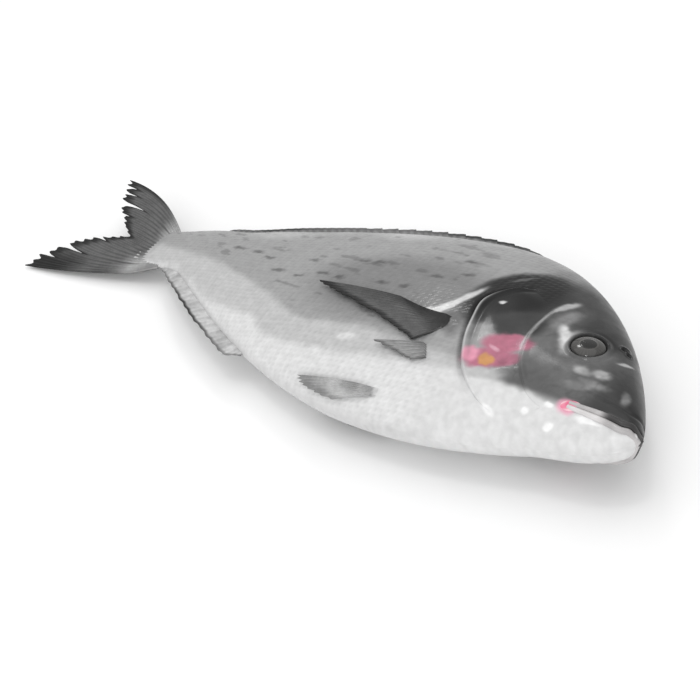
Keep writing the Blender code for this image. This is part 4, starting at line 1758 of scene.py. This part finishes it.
@dataclass
class DorsalFin(Fin):
    """Dorsal fin folded back along the ridge: spines in front, soft rays behind."""

    rays: int = 24
    samples: int = 9
    steps: int = 26
    root_thickness: float = 0.0018
    edge_thickness: float = 0.0006
    ragged: float = 0.0
    web_tone: float = 0.45
    ray_tone: float = 0.58
    margin_tone: float = 0.16
    margin: float = 0.16
    start: float = 0.345
    end: float = 0.885
    height: float = 0.033
    fall: float = 0.35
    spines: int = 11
    sink: float = 0.018

    def name(self) -> str:
        """Name of the piece."""
        return "dorsal_fin"

    def where(self, u: Array, v: Array) -> tuple[Array, Array]:
        """Dorsal points in fish terms.

        Args:
            u: Share from front to rear.
            v: Share from the root to the edge.

        Returns:
            Stations and heights.
        """
        s = self.start + (self.end - self.start) * u
        tall = self.height * (1 - self.fall * u) * np.sin(math.pi * np.clip(u, 1e-3, 1 - 1e-3)) ** 0.35
        spiny = 1 - ease(u, 0.50, 0.60)
        beat = np.mod(u * self.spines / 0.55, 1.0)
        notch = spiny * 0.16 * beat**0.8
        top = tall * (1 - notch)
        lean = 0.030 * v * np.sin(math.pi * u) ** 0.5
        s = np.clip(s + lean, None, self.end + 0.004)
        y = self.form.back(s) - self.sink + (self.sink + top) * v
        return s, y

    def tone(self, u: Array, v: Array, ray: Array) -> Array:
        """Dorsal tone, edged dark in front and near the rear only.

        Args:
            u: Share from front to rear.
            v: Share from the root.
            ray: Ray height.

        Returns:
            Greys between 0 and 1.
        """
        grey = self.web_tone + (self.ray_tone - self.web_tone) * ray
        front = np.exp(-(((u - 0.17) / 0.12) ** 2))
        rear = np.exp(-(((u - 0.80) / 0.08) ** 2))
        edge = ease(v, 1 - 1.6 * self.margin, 1 - 0.3 * self.margin)
        return grey + (self.margin_tone - grey) * edge * np.clip(0.25 + front + rear, 0, 1)


@dataclass
class AnalFin(Fin):
    """Anal fin lying back under the tail stalk: three spines, then soft rays."""

    rays: int = 15
    samples: int = 9
    steps: int = 30
    root_thickness: float = 0.0016
    edge_thickness: float = 0.0006
    web_tone: float = 0.80
    ray_tone: float = 0.70
    margin_tone: float = 0.18
    margin: float = 0.10
    ragged: float = 0.06
    edge: tuple[Place, ...] = ((0.635, -0.100), (0.665, -0.113), (0.800, -0.066), (0.935, -0.003))
    sink: float = 0.018

    def name(self) -> str:
        """Name of the piece."""
        return "anal_fin"

    def where(self, u: Array, v: Array) -> tuple[Array, Array]:
        """Anal fin points in fish terms.

        Args:
            u: Share from front to rear.
            v: Share from the root to the edge.

        Returns:
            Stations and heights.
        """
        knots_s = [p[0] for p in self.edge]
        knots_y = [p[1] for p in self.edge]
        tip_s = knots_s[0] + (knots_s[-1] - knots_s[0]) * u
        tip_y = np.interp(tip_s, knots_s, knots_y)
        root_s = tip_s - 0.035 * np.sin(math.pi * u) ** 0.6
        root_y = self.form.belly(root_s) + self.sink
        return root_s + (tip_s - root_s) * v, root_y + (tip_y - root_y) * v

    def tone(self, u: Array, v: Array, ray: Array) -> Array:
        """Anal fin tone with a dark edge that is strongest in the middle.

        Args:
            u: Share from front to rear.
            v: Share from the root.
            ray: Ray height.

        Returns:
            Greys between 0 and 1.
        """
        grey = self.web_tone + (self.ray_tone - self.web_tone) * ray
        middle = 0.35 + 0.65 * np.exp(-(((u - 0.55) / 0.28) ** 2))
        edge = ease(v, 1 - 1.6 * self.margin, 1 - 0.3 * self.margin)
        return grey + (self.margin_tone - grey) * edge * middle


@dataclass
class PairedFin(Fin):
    """Fin of one flank that lies back against the skin."""

    flank: Flank = Flank.RIGHT
    rest_rise: tuple[float, float] = (0.0002, 0.0012)

    def faces_of(self, s: Array, y: Array, u: Array, v: Array, thick: Array) -> tuple[Array, Array]:
        """Both faces of the fin, laid over the flank.

        Args:
            s: Stations.
            y: Heights.
            u: Share across the rays.
            v: Share from the root.
            thick: Thickness in metres.

        Returns:
            Outer and inner grids of points.
        """
        low = self.rest_rise[0] + (self.rest_rise[1] - self.rest_rise[0]) * ease(v, 0.0, 1.0)
        low = low + self.wave(u, v)
        outer = self.form.on_flank(s, y, self.flank, low + thick)
        return outer, self.form.on_flank(s, y, self.flank, low - 0.0004)


@dataclass
class PectoralFin(PairedFin):
    """Long pointed pectoral fin behind the gill opening."""

    rays: int = 16
    samples: int = 10
    steps: int = 90
    root_thickness: float = 0.0013
    edge_thickness: float = 0.0005
    web_tone: float = 0.42
    ray_tone: float = 0.33
    margin_tone: float = 0.20
    margin: float = 0.08
    ragged: float = 0.05
    web_share: float = 0.35
    roots: tuple[Place, ...] = ((0.326, 0.056), (0.325, 0.049), (0.326, 0.041), (0.330, 0.032))
    tips: tuple[Place, ...] = (
        (0.588, 0.045),
        (0.555, 0.036),
        (0.505, 0.027),
        (0.455, 0.017),
        (0.415, 0.007),
        (0.385, 0.000),
        (0.362, -0.008),
    )
    bow: float = 0.008

    def name(self) -> str:
        """Name of the piece."""
        return f"pectoral_fin_{self.flank.tag}"

    def where(self, u: Array, v: Array) -> tuple[Array, Array]:
        """Pectoral points in fish terms.

        Args:
            u: Share from the upper to the lower ray.
            v: Share from the root to the edge.

        Returns:
            Stations and heights.
        """
        root, tip = curve_through(self.roots, u), curve_through(self.tips, u)
        spots = root + (tip - root) * v[..., None]
        dip = -0.8 * np.sin(math.pi * np.clip(v / 0.4, 0, 1)) + np.sin(math.pi * v)
        return spots[..., 0], spots[..., 1] + self.bow * dip * (1 - u) ** 2

    def wave(self, u: Array, v: Array) -> Array:
        """Low curl of the web, sunk into the flank at the root."""
        return 0.00035 * np.sin(5 * u) * v - 0.0018 * (1 - ease(v, 0.0, 0.07))


@dataclass
class PectoralTuft(PectoralFin):
    """Short lowest rays of the pectoral fin, parted from the blade."""

    rays: int = 6
    steps: int = 50
    web_tone: float = 0.68
    ray_tone: float = 0.52
    margin_tone: float = 0.48
    ragged: float = 0.08
    bow: float = 0.0
    roots: tuple[Place, ...] = ((0.335, -0.004), (0.330, -0.012), (0.322, -0.024))
    tips: tuple[Place, ...] = ((0.412, -0.031), (0.382, -0.034), (0.358, -0.036), (0.340, -0.037))

    def name(self) -> str:
        """Name of the piece."""
        return f"pectoral_tuft_{self.flank.tag}"


@dataclass
class PelvicFin(PairedFin):
    """Pale pelvic fin folded along the belly."""

    rays: int = 8
    samples: int = 10
    steps: int = 50
    root_thickness: float = 0.0013
    edge_thickness: float = 0.0005
    web_tone: float = 0.80
    ray_tone: float = 0.72
    margin_tone: float = 0.58
    margin: float = 0.20
    ragged: float = 0.05
    roots: tuple[Place, ...] = ((0.358, -0.090), (0.357, -0.101))
    tips: tuple[Place, ...] = ((0.496, -0.110), (0.486, -0.117), (0.458, -0.121), (0.420, -0.122))

    def name(self) -> str:
        """Name of the piece."""
        return f"pelvic_fin_{self.flank.tag}"

    def where(self, u: Array, v: Array) -> tuple[Array, Array]:
        """Pelvic points in fish terms.

        Args:
            u: Share from the upper to the lower ray.
            v: Share from the root to the edge.

        Returns:
            Stations and heights.
        """
        root, tip = curve_through(self.roots, u), curve_through(self.tips, u)
        spots = root + (tip - root) * v[..., None]
        tuck = 0.020 if self.flank is Flank.LEFT else 0.0
        low = self.form.belly(spots[..., 0]) + 0.002
        return spots[..., 0], np.maximum(spots[..., 1], low) + tuck

    def wave(self, u: Array, v: Array) -> Array:
        """Root sunk into the belly."""
        return -0.0016 * (1 - ease(v, 0.0, 0.22)) + 0.0 * u


# ---- whole fish and its studio -------------------------------------------------------------


@dataclass
class SeaBream:
    """The whole fish, built part by part."""

    form: FishForm = field(default_factory=FishForm)
    plan: HeadPlan = field(default_factory=HeadPlan)

    def build(self) -> list[str]:
        """Make every piece and return their names."""
        maker = PieceMaker(self.form)
        rack = FinishRack()
        paint = SkinPaint(self.form, self.plan)
        for flank in Flank:
            FlankSkin(self.form, self.plan, paint, flank).build(maker, rack.skin)
            GillCover(self.form, self.plan, paint, flank).build(maker, rack.skin)
            Eye(self.form, self.plan, flank).build(maker, rack.eye)
        Mouth(self.form, self.plan, paint).build(maker, rack)
        TailFin(self.form).build(maker, rack.fin)
        DorsalFin(self.form).build(maker, rack.fin)
        AnalFin(self.form).build(maker, rack.fin)
        for flank in Flank:
            PectoralFin(self.form, flank=flank).build(maker, rack.fin)
            PectoralTuft(self.form, flank=flank).build(maker, rack.fin)
            PelvicFin(self.form, flank=flank).build(maker, rack.fin)
        return maker.made


@dataclass
class Studio:
    """Pale floor, soft lights and the camera."""

    floor_size: float = 24.0
    camera_at: tuple[float, float, float] = (0.3022, -0.2723, 0.3010)
    camera_aim: tuple[float, float, float] = (0.0333, -0.0255, 0.0160)
    lens: float = 67.0
    roll: float = -11.61
    world_strength: float = 0.76
    key_power: float = 4.8
    fill_power: float = 4.6
    spark_power: float = 0.9
    glint_power: float = 1.0

    def floor(self) -> None:
        """Lay the floor."""
        half = self.floor_size / 2
        corners = [(-half, -half, 0), (half, -half, 0), (half, half, 0), (-half, half, 0)]
        mesh = bpy.data.meshes.new("floor")
        mesh.from_pydata(corners, [], [(0, 1, 2, 3)])
        mesh.materials.append(FloorFinish().make())
        plate = bpy.data.objects.new("floor", mesh)
        bpy.context.scene.collection.objects.link(plate)

    def light(self, name: str, at: Sequence[float], size: float, power: float) -> None:
        """Hang one soft square light aimed at the fish.

        Args:
            name: The light's name.
            at: Its place.
            size: Side of the square.
            power: Its power in watts.
        """
        lamp = bpy.data.lights.new(name, "AREA")
        lamp.shape = "SQUARE"
        lamp.size = size
        lamp.energy = power
        holder = bpy.data.objects.new(name, lamp)
        holder.location = Vector(at)
        holder.rotation_euler = (-Vector(at)).to_track_quat("-Z", "Y").to_euler()
        bpy.context.scene.collection.objects.link(holder)

    def world(self) -> None:
        """Fill the room with even pale light."""
        room = bpy.data.worlds.new("room")
        room.use_nodes = True
        back = room.node_tree.nodes["Background"]
        back.inputs["Color"].default_value = (1.0, 1.0, 1.0, 1.0)
        back.inputs["Strength"].default_value = self.world_strength
        bpy.context.scene.world = room

    def camera(self) -> None:
        """Set the camera at its place with its roll."""
        lens = bpy.data.cameras.new("camera")
        lens.lens = self.lens
        holder = bpy.data.objects.new("camera", lens)
        place, aim = Vector(self.camera_at), Vector(self.camera_aim)
        behind = (place - aim).normalized()
        level = Vector((0, 0, 1)).cross(behind).normalized()
        upright = behind.cross(level)
        roll = math.radians(self.roll)
        right = level * math.cos(roll) + upright * math.sin(roll)
        axes = Matrix((right, behind.cross(right), behind)).transposed().to_4x4()
        holder.matrix_world = Matrix.Translation(place) @ axes
        lens.clip_start, lens.clip_end = 0.01, 20.0
        bpy.context.scene.collection.objects.link(holder)
        bpy.context.scene.camera = holder

    def build(self) -> None:
        """Set up everything round the fish."""
        self.floor()
        self.world()
        self.light("key", (-0.10, 0.15, 1.20), 1.4, self.key_power)
        self.light("fill", (0.45, -0.95, 0.38), 0.9, self.fill_power)
        self.light("spark", (0.10, -0.10, 1.30), 0.12, self.spark_power)
        self.light("glint", (-0.52, 0.62, 0.80), 0.16, self.glint_power)
        self.camera()
        bpy.context.scene.view_settings.view_transform = "Standard"


def main() -> None:
    """Build the fish and its studio."""
    logging.basicConfig(level=logging.INFO, format="%(name)s: %(message)s")
    names = SeaBream().build()
    LOG.info("%d pieces: %s", len(names), ", ".join(names))
    Studio().build()


if __name__ == "__main__":
    main()
